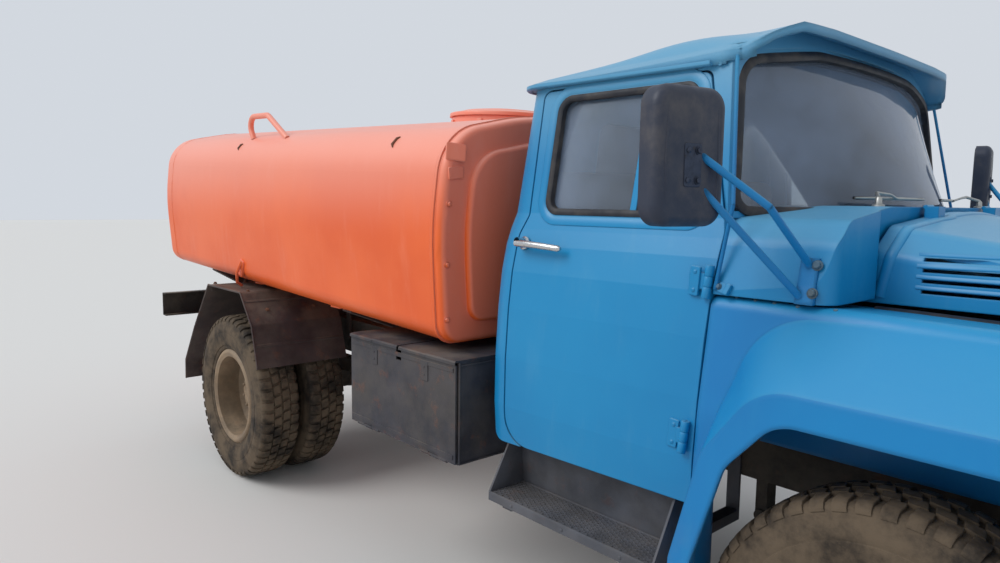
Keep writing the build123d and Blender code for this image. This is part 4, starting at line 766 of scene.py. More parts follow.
def cab_front_piece():
    """The cab's front with narrow pillars, so that the windscreen reaches round its corners."""
    made = put("cab_pillars", NODES["cab_front"].data.copy())
    cutter = bmesh.new()
    for side, _ in SIDES:
        corners = ((0.740, 1.722), (0.866, 1.722), (0.797, 2.200), (0.740, 2.222))
        rear, front = [[cutter.verts.new((FRONT + x, side * y, z)) for y, z in corners]
                       for x in (-0.680, -0.400)]
        cutter.faces.new(rear)
        cutter.faces.new(front[::-1])
        for k in range(4):
            cutter.faces.new((rear[k], rear[k - 1], front[k - 1], front[k]))
    bmesh.ops.recalc_face_normals(cutter, faces=cutter.faces)
    cut_mesh = bpy.data.meshes.new("opening")
    cutter.to_mesh(cut_mesh)
    cutter.free()
    tool = put("opening", cut_mesh)
    change = made.modifiers.new("opening", "BOOLEAN")
    change.operation, change.object, change.solver = "DIFFERENCE", tool, "EXACT"
    bpy.context.view_layer.update()
    made.data = bpy.data.meshes.new_from_object(made.evaluated_get(bpy.context.evaluated_depsgraph_get()))
    made.modifiers.clear()
    bpy.data.objects.remove(tool)
    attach(made, "chassis")
    coat(made, CAB_BLUE)
    sharpen(made, 30)
    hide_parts("cab_front")


def screen_panes():
    """The one-piece windscreen reaching round the corners, and the flat rear pane."""
    glass, rows, columns = Shape(), 24, 60
    for depth, turn in ((0.020, 1), (0.026, -1)):
        rings = []
        for j in range(rows + 1):
            half = 0.866 - 0.072 * (0.540 * j / rows - 0.018) / 0.478
            row = []
            for k in range(columns + 1):
                y = half * (2 * k / columns - 1)
                z = 1.704 + (0.558 - 0.080 * (y / 0.79) ** 4) * j / rows
                row.append((screen_x(y, z) - depth, y, z))
            rings.append(row)
        glass.rings(rings, False, turn)
    for depth, turn in ((0.020, -1), (0.026, 1)):
        glass.rings([[(rear_pane_x(z) + depth, y, z) for y in (-0.49, 0, 0.49)] for z in (1.73, 1.91, 2.09)],
                    False, turn)
    made = glass.make("cab_panes", GLASS, "glass")
    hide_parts("cab_glass")


def gutters():
    """The drip channels along the roof's sides, turned round its rear corners."""
    channel = Shape()
    profile = ((-0.004, -0.001), (0.012, -0.001), (0.0165, 0.003), (0.0165, 0.0145), (0.0135, 0.0145),
               (0.0125, 0.006), (-0.003, 0.005))
    rear, radius, widest = -1.487, 0.118, 0.882
    for side, _ in SIDES:
        half = tapered(widest, rear)
        path = [(rear, half - radius - 0.05), (rear, half - radius)]
        path += [(rear + radius * (1 - cos(a)), half - radius * (1 - sin(a)))
                 for a in [pi / 2 * k / 8 for k in range(1, 9)]]
        path += [(x, tapered(widest, x)) for x in (-1.2, -1.0, -0.8, -0.66)]
        spots = [Vector((x, side * y, 2.167)) for x, y in path]
        rings = []
        for k, spot in enumerate(spots):
            run = (spots[min(k + 1, len(spots) - 1)] - spots[max(k - 1, 0)]).normalized()
            out = Vector((run.y, -run.x, 0)) * -side
            rings.append([spot + out * b + Vector((0, 0, n)) for b, n in profile])
        channel.rings(rings, False, -side)
        channel.add(rings[0], [tuple(range(len(profile)))[::side]])
        channel.add(rings[-1], [tuple(range(len(profile)))[::-side]])
    channel.make("gutters", CAB_BLUE, "cab_blue")


def door_fittings(side, word, door):
    """The pull handle with its rose, and the two outside hinges."""
    shine = Shape()
    knee, tip = Vector((-1.345, side * 1.010, 1.588)), Vector((-1.150, side * 0.998, 1.578))
    place, normal = touch(door, (knee.x, side * 1.2, knee.z - 0.03), (0, -side, 0))
    place.z = knee.z
    shine.turned([(-0.004, 0.026), (0.003, 0.025), (0.008, 0.019), (0.020, 0.0145), (0.045, 0.0135)],
                 place, normal, 24)
    grip = [knee + Vector((-0.013, 0, 0)), knee + Vector((-0.010, side * 0.002, 0))]
    radii = [0.006, 0.0115]
    for k in range(9):
        share = k / 8
        grip.append(knee.lerp(tip, share) + Vector((0, side * 0.006, 0.002)) * sin(pi * share))
        radii.append(0.0137 - 0.0016 * share)
    grip.append(tip + Vector((0.0115, 0, 0)))
    radii.append(0.006)
    shine.tube(grip, radii, 16)
    shine.make(f"door_handle_{word}", CHROME, "bumper_paint", f"door_{word}")

    leaves, fixed = Shape(), Shape()
    for x, y, z in ((-0.566, 0.962, 1.511), (-0.604, 0.998, 1.033)):
        pin = Vector((x, side * y, z))
        line = Vector((0.038, side * -0.036, 0.478)).normalized()
        for low, high, shape in ((-0.050, -0.017, fixed), (-0.015, 0.015, leaves), (0.017, 0.050, fixed)):
            shape.tube([pin + line * along for along in (low, low + 0.002, high - 0.002, high)],
                       [0.0125, 0.0135, 0.0135, 0.0125], 16)
        spot, out = touch(door, (x - 0.044, side * 1.3, z), (0, -side, 0))
        u, v = frame_on(out, line)
        leaves.slab(rectangle(0.034, 0.090, 0.005), spot, u, v, 0.006)
        for rise in (-0.028, 0.028):
            leaves.rivet(spot + v * rise + out * 0.006, out, 0.006)
    leaves.make(f"hinge_leaves_{word}", CAB_BLUE, "cab_blue", f"door_{word}")
    fixed.make(f"hinge_eyes_{word}", CAB_BLUE, "cab_blue")


def wipers(front):
    """Two parked wipers at the foot of the windscreen."""
    arms, blades = Shape(), Shape()
    for y in (-0.5, 0.5):
        turn = 1 if y < 0 else -1
        base, up = touch(front, (-0.275, y, 2.0), (0, 0, -1))
        arms.turned([(-0.004, 0.019), (0.005, 0.018), (0.008, 0.011), (0.022, 0.010), (0.028, 0.007),
                     (0.029, 0.001)], base, up, 20)
        along = [y + 0.22 * turn + d for d in (-0.19, -0.1, 0, 0.1, 0.19)]
        glass = [Vector((screen_x(b, 1.768) + 0.014, b, 1.768)) for b in along]
        elbow = base + Vector((-0.03, 0.06 * turn, 0.042))
        arms.tube([base + up * 0.027, elbow, elbow.lerp(glass[2], 0.5) + Vector((0.014, 0, 0.004)),
                   glass[2] + Vector((0.012, 0, 0))], [0.0062, 0.0055, 0.0045, 0.004], 8)
        arms.tube([p + Vector((0.006, 0, 0)) for p in glass], [0.003, 0.0045, 0.0055, 0.0045, 0.003], 8)
        rings = [[p + Vector((d, 0, r)) for d, r in ((0.006, 0.004), (0.001, 0.005), (-0.003, 0.0015),
                                                     (-0.003, -0.0015), (0.001, -0.005), (0.006, -0.004))]
                 for p in glass]
        blades.rings(rings)
    arms.make("wiper_arms", SILVER, "bumper_paint")
    blades.make("wiper_blades", SEAL, "black_plastic")


def cowl_fittings(cowl, arms_skin, fenders):
    """Bolts of the mirror plates, the stays' feet and the seam along the fenders."""
    bolts, feet = Shape(), Shape()
    for across, down in ((817.7, 265.6), (812.3, 293.6)):
        for place, normal in both_sides(*seen(arms_skin, across, down)):
            bolts.nut(place, normal, 0.019)
    for spot, normal in both_sides(*seen(cowl, 722, 288)):
        u, v = frame_on(normal, (0.35, 0, 1))
        feet.slab(rectangle(0.052, 0.030, 0.005), spot, u, v, 0.004)
        feet.slab(rectangle(0.016, 0.034, 0.003), spot + u * 0.022 + v * 0.004, u, v, 0.013)
        bolts.nut(spot - u * 0.010 + normal * 0.004, normal, 0.013)
    for across, down in ((736.9, 297.5), (755.6, 300.4), (774.6, 303.2), (797.9, 306.8), (835.6, 310.4)):
        for place, normal in both_sides(*seen(fenders, across, down)):
            bolts.rivet(place, normal, 0.0062)
    feet.make("stay_feet", CAB_BLUE, "cab_blue")
    bolts.make("cowl_bolts", RUSTY_BLUE, "cab_blue")


def hood_trim(hood):
    """The bead near the hood's rear edge and the lips of its louvres."""
    bead, sill = Shape(), 1.482
    round_bead = [(0.016 * cos(a), 0.0085 * sin(a)) for a in [pi * k / 8 for k in range(9)]]
    path, normals = [], []
    for k in range(81):
        a = pi * k / 80
        start = Vector((0, cos(a) * 1.3, sill + sin(a) * 0.9))
        z = start.z
        for _ in range(3):
            x = -0.152 - 0.055 * (1.742 - z) / 0.280
            place, normal = touch(hood, (x, start.y, start.z), (0, -start.y, sill - start.z))
            z = place.z
        if place.z > 1.478:
            path.append(place - normal * 0.001)
            normals.append(normal)
    bead.band(path, normals, round_bead)
    bead.make("hood_bead", CAB_BLUE, "cab_blue", "hood")
    lips = Shape()
    profile = ((0.014, -0.001), (0.009, 0.0014), (0.005, 0.0034), (0.002, 0.0036), (0.001, 0.0016),
               (0.002, -0.004))
    for height in (1.505, 1.535, 1.565, 1.595):
        for side, _ in SIDES:
            rings = []
            for k in range(15):
                x = -0.110 + 0.452 * k / 14
                ends = min(1, (min(k, 14 - k) + 0.25) / 1.2)
                place, out = touch(hood, (x, side * 0.9, height + 0.011), (0, -side, 0))
                rings.append([place + Vector((0, 0, b - 0.006)) + out * (n * ends) for b, n in profile])
            lips.rings(rings, False, -side)
    lips.make("louvre_lips", CAB_BLUE, "cab_blue", "hood")


def painted_hood_gap_shade(fenders):
    """Dark strips along the fenders under the hood's sides: painted shade for the shadow in that gap."""
    strips = Shape()
    profile = mirrored(((-0.014, -0.004), (-0.013, 0.004), (-0.005, 0.0075)))
    for side, _ in SIDES:
        path = []
        for k in range(24):
            x = -0.20 + 0.92 * k / 23
            place, _ = touch(fenders, (x, side * 0.663, 1.8), (0, 0, -1))
            path.append(place)
        # Painted shade: seal-coloured strips that darken the gap under the hood's edges.
        strips.rings([[p + Vector((0, d, r)) for d, r in profile] for p in path])
    strips.make("painted_hood_gap_shade", SEAL, "black_plastic")


def seat_piece():
    """The bench's steel base, and its cushion and backrest in vinyl."""
    base, half = Shape(), 0.80
    rows = ((-1.410, 0.992), (-0.965, 0.992), (-0.938, 1.285), (-1.36, 1.285))
    base.slab([Vector(p) for p in rows], (0, half, 0), (1, 0, 0), UP, 0.0)
    for y in (-half, half):
        base.add([(x, y, z) for x, z in rows], [(0, 1, 2, 3)])
    base.add([(x, y, z) for x, z in rows for y in (-half, half)],
             [(0, 1, 3, 2), (2, 3, 5, 4), (4, 5, 7, 6), (6, 7, 1, 0)])
    made = base.make("seat_base", FLOOR_DARK, "dark_floor")
    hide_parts("seat")
    forms = (
        ("seat_cushion", (-1.085, 1.350), (0.190, 0.058), radians(-2)),
        ("seat_back", (-1.340, 1.632), (0.062, 0.232), radians(-7)),
    )
    for name, (x, z), (half_x, half_z), lean in forms:
        cushion(name, Vector((x, 0, z)), half_x, half_z, lean)


def cushion(name, middle, half_x, half_z, lean):
    """A crowned pad across the cab, with sewn channels, welts and pulled-in sides."""
    half_y, edge, pitch = 0.800, 0.040, 0.11
    counts = {0: max(8, int(half_x / 0.012)), 1: 220, 2: max(8, int(half_z / 0.012))}
    half = (half_x, half_y, half_z)
    mesh = bmesh.new()
    for axis in range(3):
        a, b = (axis + 1) % 3, (axis + 2) % 3
        for sign in (-1, 1):
            grid = []
            for i in range(counts[a] + 1):
                row = []
                for j in range(counts[b] + 1):
                    p = [0, 0, 0]
                    p[axis] = sign * half[axis]
                    p[a] = half[a] * (2 * i / counts[a] - 1)
                    p[b] = half[b] * (2 * j / counts[b] - 1)
                    row.append(mesh.verts.new(p))
                grid.append(row)
            for i in range(counts[a]):
                for j in range(counts[b]):
                    quad = [grid[i][j], grid[i + 1][j], grid[i + 1][j + 1], grid[i][j + 1]]
                    mesh.faces.new(quad[::sign])
    bmesh.ops.remove_doubles(mesh, verts=mesh.verts, dist=0.0004)
    thin = 2 if half_x > half_z else 0
    long = 2 - thin
    turn = Matrix.Rotation(lean, 3, "Y")
    for vertex in mesh.verts:
        p = vertex.co
        core = Vector([max(-half[k] + edge, min(half[k] - edge, p[k])) for k in range(3)])
        p = core + (p - core).normalized() * edge if (p - core).length > 1e-6 else p.copy()
        wide = max(0, 1 - (p.y / half_y) ** 2)
        tall = max(0, 1 - (p[long] / half[long]) ** 2)
        channel = abs((p.y / pitch + 0.5) % 1 - 0.5) * pitch
        puff = 0.55 + 0.45 * min(1, channel / 0.045) ** 0.5
        sewn = exp(-(channel / 0.0035) ** 2) * 0.005
        sign = 1 if p[thin] > 0 else -1
        face = min(1, abs(p[thin]) / half[thin]) ** 3
        p[thin] += sign * face * (0.012 * (wide ** 0.4) * (tall ** 0.5) * puff - sewn * tall ** 0.3)
        p[long] *= 1 - 0.012 * (1 - wide) - 0.010 * (abs(p.y) / half_y) ** 8
        vertex.co = turn @ p + middle + AXLE_FOOT
    data = bpy.data.meshes.new(name)
    mesh.to_mesh(data)
    mesh.free()
    made = dress(name, data, VINYL, "chassis")


def mirror_fittings():
    """The rim of each mirror, its pane and the clamp that its arms hold."""
    rims, panes, clamps, half = Shape(), Shape(), Shape(), 0.032
    for side, _ in SIDES:
        turn = Matrix.Rotation(radians(12) * side, 3, "Z")
        middle = Vector((-0.470, side * 1.252, 1.860))
        u, v, out = turn @ Vector((0, 1, 0)), UP, turn @ Vector((-1, 0, 0))
        face = middle + out * half
        glass = rectangle(0.326, 0.212, 0.042)
        panes.slab(glass, face - out * 0.001, v, u, 0.0025, 0.001)
        ring = dense(glass, 0.03)
        path = [face + v * p.x + u * p.y for p in ring]
        lip = ((0.009, -0.004), (0.009, 0.001), (0.005, 0.0035), (0.000, 0.0035), (-0.003, 0.001))
        rims.band(path, [out] * len(path), lip, True)
        back = middle - out * half
        clamps.slab(rectangle(0.058, 0.110, 0.006), back + v * -0.022 + out * 0.002, u, v, 0.0045)
        for rise in (0.015, -0.060):
            clamps.nut(back + v * rise - out * 0.0025 + u * 0.016, -out, 0.014)
            clamps.rivet(back + v * rise - out * 0.0025 - u * 0.016, -out, 0.008)
        for rib in (-0.085, 0.085):
            rims.tube([back + u * rib * wide + v * rise + out * proud for wide, rise, proud in
                       ((1, -0.12, 0.004), (1.05, 0, 0.0025), (1, 0.12, 0.004))], 0.005, 8)
    rims.make("mirror_rims", MIRROR_BLACK, "mirror_black")
    panes.make("mirror_panes", MIRROR_PANE, "glass")
    clamps.make("mirror_clamps", CLAMP_STEEL, "bumper_paint")


ROOF_TOP = 2.389


def roof_point(p):
    """Where a point of the roof comes to lie, with the visor's corners rounded and its sides full."""
    x, y, z = p.x - FRONT, abs(p.y), p.z
    tip, radius = 0.876, 0.11
    raised = 0.030 * exp(-((x + 0.90) / 0.20) ** 2) * held((y - 0.55) / 0.2)
    lowered = 0.022 * exp(-((x + 0.56) / 0.12) ** 2) * held((y - 0.45) / 0.3)
    z = min(z + held((z - 2.23) / 0.06) * (raised - lowered), ROOF_TOP)
    front = -0.530 + 0.25 * max(0.0, tip - max(y, 0.62))
    u, v = x - (front - radius), y - (tip - radius)
    if u > 0 and v > 0:
        share = max(u, v) / sqrt(u * u + v * v)
        x, y = x + u * (share - 1), y + v * (share - 1)
    return Vector((x + FRONT, y if p.y > 0 else -y, z))


def roof_piece():
    """The roof's sheet, crowned and rounded at the visor's corners."""
    made = put("roof_sheet", NODES["cab_roof"].data.copy())
    mesh = bmesh.new()
    mesh.from_mesh(made.data)
    for _ in range(6):
        long = [edge for edge in mesh.edges if edge.calc_length() > 0.034]
        if not long:
            break
        bmesh.ops.subdivide_edges(mesh, edges=long, cuts=1)
        bmesh.ops.triangulate(mesh, faces=mesh.faces)
    for vertex in mesh.verts:
        vertex.co = roof_point(vertex.co)
    mesh.to_mesh(made.data)
    mesh.free()
    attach(made, "chassis")
    coat(made, ROOF_BLUE)
    sharpen(made, 40)
    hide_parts("cab_roof")


def visor_lip(roof):
    """The rolled edge along the visor's arched lip."""
    roll = Shape()
    path, middle = [], -0.66
    for k in range(73):
        a = pi * k / 72
        start = Vector((middle + 0.9 * sin(a), -1.3 * cos(a), 0))
        low, high = 2.150, 2.262
        for _ in range(9):
            start.z = (low + high) / 2
            place = roof.ray_cast(start, Vector((middle, 0, start.z)) - start)[0]
            if place is None or Vector((place.x - middle, place.y)).length < 0.20:
                low = start.z
            else:
                high, spot = start.z, place
        path.append(roof_point(spot) + Vector((0, 0, 0.002)))
    roll.tube(path[1:-1], 0.0065, 10)
    roll.make("visor_lip", ROOF_BLUE, "cab_blue")


def lamp_bases(roof):
    """The rubber under each roof lamp."""
    gums = Shape()
    for y in (-0.21, 0, 0.21):
        place, up = touch(roof, (-0.600, y, 3.0), (0, 0, -1))
        gums.turned([(-0.010, 0.037), (0.004, 0.036), (0.007, 0.032), (0.007, 0.026)], place, up, 28)
    gums.make("lamp_gums", SEAL, "black_plastic")


# Tank, boxes and rear body

RISE = radians(2.2)


def tank_spot(x, y, z):
    """A point of the tank's own level frame, in metres from the front axle."""
    return Vector((-1.700 + x * cos(RISE) + z * sin(RISE), y, 1.150 - x * sin(RISE) + z * cos(RISE)))


def tank_ring(tank, x, count=240):
    """Points and normals round the tank's skin at a distance x behind its front end."""
    middle = tank_spot(x, 0, 0.48)
    path, normals = [], []
    for k in range(count):
        a = 2 * pi * k / count
        away = Vector((sin(RISE) * sin(a), -cos(a), cos(RISE) * sin(a)))
        place, normal = touch(tank, middle + away * 2.2, -away)
        path.append(place)
        normals.append(normal)
    return path, normals


def tank_fittings(tank):
    """Weld beads, the front band's bolts, the welded patches, lug and clamps."""
    welds, plates = Shape(), Shape()
    round_bead = ((0.006, -0.001), (0.004, 0.0026), (0, 0.0038), (-0.004, 0.0026), (-0.006, -0.001))
    for x, size in ((-0.068, 1.0), (-0.041, 0.7), (-3.235, 0.9)):
        path, normals = tank_ring(tank, x)
        wobble = [0.75 + 0.25 * sin(k * 2.7) + 0.2 * sin(k * 0.9) for k in range(len(path))]
        rings = []
        for k, (place, normal) in enumerate(zip(path, normals)):
            across = (path[(k + 1) % len(path)] - path[k - 1]).cross(normal).normalized()
            rings.append([place + across * b * size + normal * n * size * wobble[k] for b, n in round_bead])
        welds.rings(rings, True)
    welds.make("tank_welds", TANK_ORANGE, "tank_orange")

    for across, down in ((449, 204), (447, 265), (447, 320)):
        for place, normal in both_sides(*seen(tank, across, down)):
            plates.nut(place, normal, 0.017)
    for across, down, wide, high, lean in ((456, 152, 0.085, 0.070, 0.1), (456, 173, 0.075, 0.050, -0.1)):
        place, normal = seen(tank, across, down)
        u, v = frame_on(normal, (0, lean, 1))
        plates.slab(rectangle(wide, high, 0.006), place, u, v, 0.0045)
    place, normal = seen(tank, 242, 268)
    u, v = frame_on(normal, (0.5, 0, 1))
    plates.slab(rectangle(0.055, 0.11, 0.010), place, u, v, 0.010)
    plates.tube([place + v * 0.05 + normal * 0.006, place + v * -0.03 + normal * 0.03,
                 place + v * -0.10 + normal * 0.022, place + v * -0.13 - normal * 0.01], 0.009, 10)
    for x in (-1.02, -1.98):
        for side, _ in SIDES:
            under, _ = touch(tank, tank_spot(x, side * 0.93, -1.0), UP)
            plates.slab(rectangle(0.10, 0.13, 0.008), under, (1, 0, 0), (0, -1, 0), 0.014)
            plates.nut(under - UP * 0.014, -UP, 0.024)
    plates.make("tank_fittings", TANK_ORANGE, "tank_orange")

    marks = Shape()
    for across, down, height in ((240, 147, 0.050), (395, 142, 0.065)):
        place, normal = seen(tank, across, down)
        u, v = frame_on(normal)
        marks.tube([place + u * 0.012 - v * height / 2, place + normal * 0.004 - v * height * 0.3,
                    place + normal * 0.004 + v * height * 0.3, place + u * 0.010 + v * height / 2],
                   [0.003, 0.006, 0.0055, 0.003], 8)
    marks.make("tank_stubs", RUSTY, "tank_orange")


def hatch_fittings(lid):
    """The lugs and clamp bolts round the hatch, and the lid's two stiffening beads."""
    ring, top = Shape(), Shape()
    middle = tank_spot(-0.900, 0, 1.030)
    up = Vector((sin(RISE), 0, cos(RISE)))
    ahead = Vector((cos(RISE), 0, -sin(RISE)))
    bead = ((0.009, -0.001), (0.005, 0.003), (0, 0.0042), (-0.005, 0.003), (-0.009, -0.001))
    for k, (y, x) in enumerate(circle(8, 1)):
        away = ahead * x + Vector((0, y, 0))
        spot = middle + away * 0.301 - up * 0.036
        if k not in (3, 4):
            ring.slab(rectangle(0.034, 0.036, 0.004), spot, up.cross(away), up, 0.010)
            ring.nut(spot + away * 0.010 - up * 0.004, away, 0.014)
    ring.make("hatch_lugs", TANK_ORANGE, "tank_orange")
    for radius in (0.235, 0.150):
        path, normals = [], []
        for y, x in circle(72, radius, 0):
            place, normal = touch(lid, middle + ahead * x + Vector((0, y, 0)) + up * 0.5, -up)
            path.append(place)
            normals.append(normal)
        top.band(path, normals, bead, True)
    top.make("hatch_beads", TANK_ORANGE, "tank_orange", "hatch_lid")


def toolbox_trim():
    """The tool box's folded top sheets and end welds, and its door's hasp plates and ribs."""
    sheet = Shape()
    cuts = (-2.408, -2.205, -1.995, -1.790, -1.582)
    lifts, tears = (0.0, 0.0025, 0.001, 0.003), (0.006, -0.004, 0.005, -0.003)
    for rear, front, lift, tear in zip(cuts, cuts[1:], lifts, tears):
        rows = ((-0.596, 1.1045), (-0.596, 1.1085 + lift), (-1.085, 1.1085 + lift), (-1.108, 1.1075 + lift),
                (-1.1135, 1.103 + lift * 0.5), (-1.1135, 1.0935), (-1.1105, 1.0935), (-1.1105, 1.1035))
        a, b = rear + 0.003, front - 0.003
        rings = [[(x + (tear if y < -1.09 else 0), y, z) for y, z in rows] for x in (a, (a + b) / 2, b)]
        sheet.rings(rings, False, -1)
        sheet.add(rings[0], [tuple(range(len(rows)))])
        sheet.add(rings[-1], [tuple(range(len(rows)))[::-1]])
    for x in (-2.405, -1.585):
        for z in (0.684, 1.088):
            sheet.tube([(x, -1.090, z), (x, -0.604, z)], 0.0035, 8)
        sheet.tube([(x, -1.090, 0.684), (x, -1.090, 1.100)], 0.0045, 8)
    sheet.make("toolbox_sheet", BOX_STEEL, "body_steel")

    door = Shape()
    for x in (-2.190, -1.800):
        door.slab(rectangle(0.050, 0.085, 0.004), (x, -1.106, 1.035), (1, 0, 0), (0, 0, 1), 0.004)
        for z in (1.052, 1.018):
            door.rivet((x, -1.110, z), (0, -1, 0), 0.005)
    for z in (0.712, 1.070):
        door.band([Vector((x, -1.106, z)) for x in (-2.385, -1.995, -1.605)], [Vector((0, -1, 0))] * 3,
                  mirrored(((0.010, -0.001), (0.008, 0.003))))
    door.make("toolbox_door_trim", BOX_STEEL, "body_steel", "toolbox_door")


ARCH = ((-4.552, 0.485), (-4.545, 0.620), (-4.345, 0.880), (-4.070, 1.190), (-3.560, 1.190), (-3.405, 1.010),
        (-3.335, 0.775))


def fender_trim():
    """The rolled outer edges of the rear fenders, their ribs and bolts."""
    rolls, bolts = Shape(), Shape()
    outline = [Vector(p) for p in ARCH]
    for side, _ in SIDES:
        path = [Vector((x, side * 1.175, z - 0.002)) for x, z in outline]
        rolls.tube(path, 0.0055, 8)
        for a, b, share in ((4, 5, 0.30), (5, 6, 0.5)):
            low, high = outline[a], outline[b]
            run = (high - low).normalized()
            out = Vector((-run.y, run.x))
            spot = low.lerp(high, share)
            normal = Vector((out.x, 0, out.y))
            line = [Vector((spot.x, side * y, spot.y)) for y in (0.61, 0.9, 1.165)]
            rolls.band(line, [normal] * 3, mirrored(((0.011, -0.001), (0.005, 0.0045))))
        for x in (-4.100, -3.580):
            for y in (0.70, 0.92, 1.12):
                bolts.nut((x, side * y, 1.190), (0, 0, 1), 0.016)
        for y in (0.75, 1.05):
            bolts.nut((-3.47, side * y, 1.0865), (0.757, 0, 0.653), 0.016)
    for y in (-1.02, -0.62, 0.62, 1.02):
        bolts.nut((-5.100, y * 0.98, 0.945), (-1, 0, 0), 0.024)
    rolls.make("rear_fender_rolls", BODY_STEEL, "body_steel")
    bolts.make("rear_bolts", RUSTY, "body_steel")


def lamp_lenses(lamps):
    """Ribbed covers of the tail lamps in their rims."""
    rims, lenses = Shape(), Shape()
    for side, _ in SIDES:
        place, normal = touch(lamps, (-6.0, side * 0.990, 0.945), (1, 0, 0))
        u, v = frame_on(normal)
        rims.slab(rectangle(0.184, 0.114, 0.018), place, u, v, 0.004)
        for shift, wide in ((-0.050, 0.076), (0.040, 0.092)):
            for k in range(9):
                middle = place + u * (shift + wide * (k - 4) / 9 * side) + normal * 0.001
                lenses.tube([middle - v * 0.045, middle + v * 0.045], 0.0042, 6)
    rims.make("tail_lamp_rims", SEAL, "black_plastic")
    lenses.make("tail_lamp_ribs", TAIL_LENS, "amber_lens")


# Wheels, steps and front

def wheel_fittings(side, word):
    """Nuts, lock rings and valves of one side's wheels."""
    front, rear = Shape(), Shape()
    out = Vector((0, side, 0))
    for x, z in circle(8, 0.137):
        front.nut((x, side * 1.045, AXLE_Z + z), out, 0.028)
    for x, z in circle(6, 0.050):
        front.nut((x, side * 1.108, AXLE_Z + z), out, 0.014)
    lock = ((-0.002, 0.2935), (0.003, 0.291), (0.008, 0.285), (0.011, 0.276), (0.009, 0.268), (0.004, 0.262),
            (0.0, 0.250))
    front.turned(lock, (0, side * 0.998, AXLE_Z), out, 72)
    front.make(f"wheel_nuts_front_{word}", WHEEL_PAINT, "wheel_paint", f"wheel_front_{word}")
    for x, z in circle(10, 0.137):
        spot = Vector((REAR_AXLE + x, side * 0.912, AXLE_Z + z))
        rear.nut(spot, out, 0.030)
        rear.turned([(0.012, 0.0085), (0.036, 0.0085), (0.039, 0.006), (0.039, 0.0005)], spot, out, 10)
    for x, z in circle(10, 0.112, 0):
        rear.nut((REAR_AXLE + x, side * 1.023, AXLE_Z + z), out, 0.015)
    rear.turned(lock, (REAR_AXLE, side * 1.143, AXLE_Z), out, 72)
    valve = [(REAR_AXLE + x, side * y, AXLE_Z + 0.03) for x, y in ((0.235, 1.025), (0.232, 1.095))]
    rear.tube(valve, [0.006, 0.005], 10)
    rear.make(f"wheel_nuts_rear_{word}", WHEEL_PAINT, "wheel_paint", f"wheels_rear_{word}")


def step_trim():
    """The tread's open mesh and the edge bars of each step."""
    mesh, edge = Shape(), Shape()
    rear, front, near, far, z, pitch = -1.418, -0.662, 0.893, 1.052, 0.6155, 0.036
    strand = mirrored(((0.0022, -0.001), (0.0015, 0.0022)))
    deep = far - near
    for side, _ in SIDES:
        for lean in (1, -1):
            run = Vector((lean * deep * 1.9, deep))
            for k in range(ceil((front - rear + deep * 4) / pitch)):
                a = Vector((rear - deep * 2 + pitch * k, near))
                ends = sorted(((rear - a.x) / run.x, (front - a.x) / run.x))
                low, high = max(0, ends[0]), min(1, ends[1])
                if high - low > 0.05:
                    path = [Vector((c.x, side * c.y, z)) for c in (a + run * low, a + run * high)]
                    mesh.band(path, [UP, UP], strand)
        for y, past, rise, radius in ((1.060, 0.010, -0.002, 0.0048), (near, 0.006, 0.001, 0.004)):
            edge.tube([(x, side * y, z + rise) for x in (rear - past, front + past)], radius, 8)
        for x in (-1.30, -1.04, -0.78):
            edge.rivet((x, side * 1.065, 0.599), (0, side, 0), 0.007)
    mesh.make("step_mesh", STEP_STEEL, "step_steel")
    edge.make("step_edges", STEP_STEEL, "step_steel")


def wing_panels():
    """The upright panels that close the engine bay between the fenders and the hood's edges."""
    panels, inner, outer = Shape(), 0.600, 0.606
    outline = [Vector(p) for p in ((0.24, 1.40), (0.78, 1.20), (0.90, 1.05), (0.934, 1.05), (0.934, 1.235),
                                   (0.905, 1.36), (0.862, 1.425), (0.820, 1.452), (0.24, 1.452))]
    for side, _ in SIDES:
        shown = outline if side < 0 else outline[::-1]
        for y, row in ((outer, shown), (inner, shown[::-1])):
            panels.add([(p.x, side * y, p.y) for p in row], [tuple(range(len(row)))])
        edge = [[(p.x, side * y, p.y) for y in (inner, outer)] for p in outline]
        panels.rings(edge, True, side)
        for x in (0.40, 0.58, 0.74):
            panels.rivet((x, side * outer, 1.440), (0, side, 0), 0.006)
    panels.make("wing_panels", CAB_BLUE, "cab_blue")


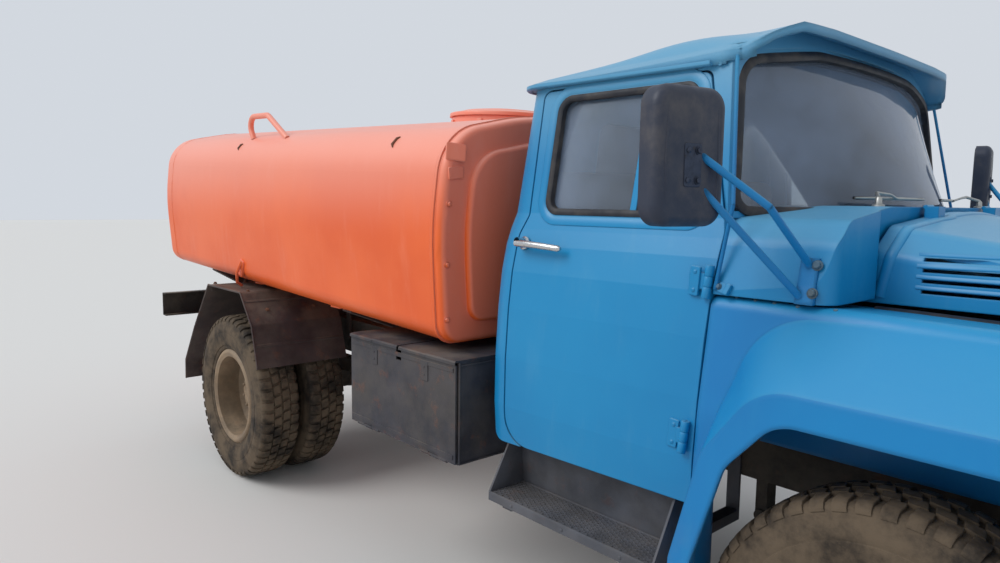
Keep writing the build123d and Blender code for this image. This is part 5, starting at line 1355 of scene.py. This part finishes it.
def front_trim(bumper):
    """Lamp rims and ribs, the grille's surround, and the bumper's bolts."""
    chrome, ribs, bolts, surround = Shape(), Shape(), Shape(), Shape()
    for side, _ in SIDES:
        centre = Vector((0.950, side * 0.490, 1.010))
        chrome.turned([(0.002, 0.108), (0.010, 0.108), (0.020, 0.102), (0.024, 0.092), (0.020, 0.082),
                       (0.010, 0.079)], centre, (1, 0, 0), 48)
        for k in range(13):
            y = (k - 6) * 0.0115
            reach = sqrt(0.076 ** 2 - y * y)
            path = []
            for j in range(9):
                z = reach * (j - 4) / 4
                r = sqrt(y * y + z * z)
                path.append(centre + Vector((0.035 - 4.2 * r * r * (1 if r < 0.07 else 1.05), y, z)))
            ribs.tube(path, 0.0022, 6)
        for z, y in circle(3, 0.096, 1 / 4):
            bolts.rivet(centre + Vector((0.021, y, z)), (1, 0, 0), 0.004)
        for y in (0.35, 0.52, 0.85):
            place, out = touch(bumper, (1.6, side * y, 0.60), (-1, 0, 0))
            bolts.rivet(place - out * 0.0082, out, 0.013)
    for z in (0.880, 1.080):
        outline = rounded([(-0.325, z - 0.082, 0.02), (0.325, z - 0.082, 0.02), (0.325, z + 0.082, 0.02),
                           (-0.325, z + 0.082, 0.02)], 5)
        cross_band(surround, dense(outline, 0.1), lambda _y, _z: 0.950,
                   ((0.014, -0.001), (0.010, 0.006), (0.002, 0.008), (-0.005, 0.006), (-0.007, -0.002)))
    chrome.make("headlamp_rims", CHROME, "bumper_paint")
    ribs.make("headlamp_ribs", LAMP_GLASS, "glass")
    bolts.make("front_bolts", CLAMP_STEEL, "bumper_paint")
    surround.make("grille_frames", CAB_BLUE, "cab_blue")


fender_skin = skin("front_fenders", "cowl")
for side, word in SIDES:
    window_trim(side, word)
    door_fittings(side, word, skin(f"door_{word}"))
    wheel_fittings(side, word)
cab_front_piece()
roof_piece()
screen_panes()
screen_trim()
gutters()
wipers(skin("cab_back", "cab_front", "cab_roof", "cowl"))
cowl_fittings(skin("cowl"), skin("mirror_arms"), fender_skin)
hood_trim(skin("hood"))
painted_hood_gap_shade(fender_skin)
seat_piece()
mirror_fittings()
lamp_bases(skin("cab_roof"))
visor_lip(skin("cab_roof"))
tank_fittings(skin("tank"))
hatch_fittings(skin("hatch_lid"))
toolbox_trim()
fender_trim()
lamp_lenses(skin("marker_lamps"))
step_trim()
wing_panels()
front_trim(skin("front_bumper"))


# Surroundings

def stage_floor():
    """A plain pale floor."""
    mesh = bpy.data.meshes.new("floor")
    reach = 60
    mesh.from_pydata([(-reach, -reach, 0), (reach, -reach, 0), (reach, reach, 0), (-reach, reach, 0)], [],
                     [(0, 1, 2, 3)])
    mesh.materials.append(Paint("pale_floor").finish(rgb(214, 212, 208), 0.85))
    floor = put("floor", mesh)


def light():
    """An even pale sky and one broad soft lamp from the near side's rear."""
    world = bpy.data.worlds.new("sky")
    bpy.context.scene.world = world
    world.use_nodes = True
    background = world.node_tree.nodes["Background"]
    background.inputs["Color"].default_value = rgb(226, 232, 240)
    background.inputs["Strength"].default_value = 0.85
    lamp = bpy.data.lights.new("soft_sun", "SUN")
    lamp.energy = 1.6
    lamp.angle = radians(35)
    sun = put("soft_sun", lamp)
    sun.rotation_euler = Vector((-0.35, -0.75, 0.75)).to_track_quat("Z", "Y").to_euler()


stage_floor()
light()
bpy.context.scene.view_settings.view_transform = "Standard"
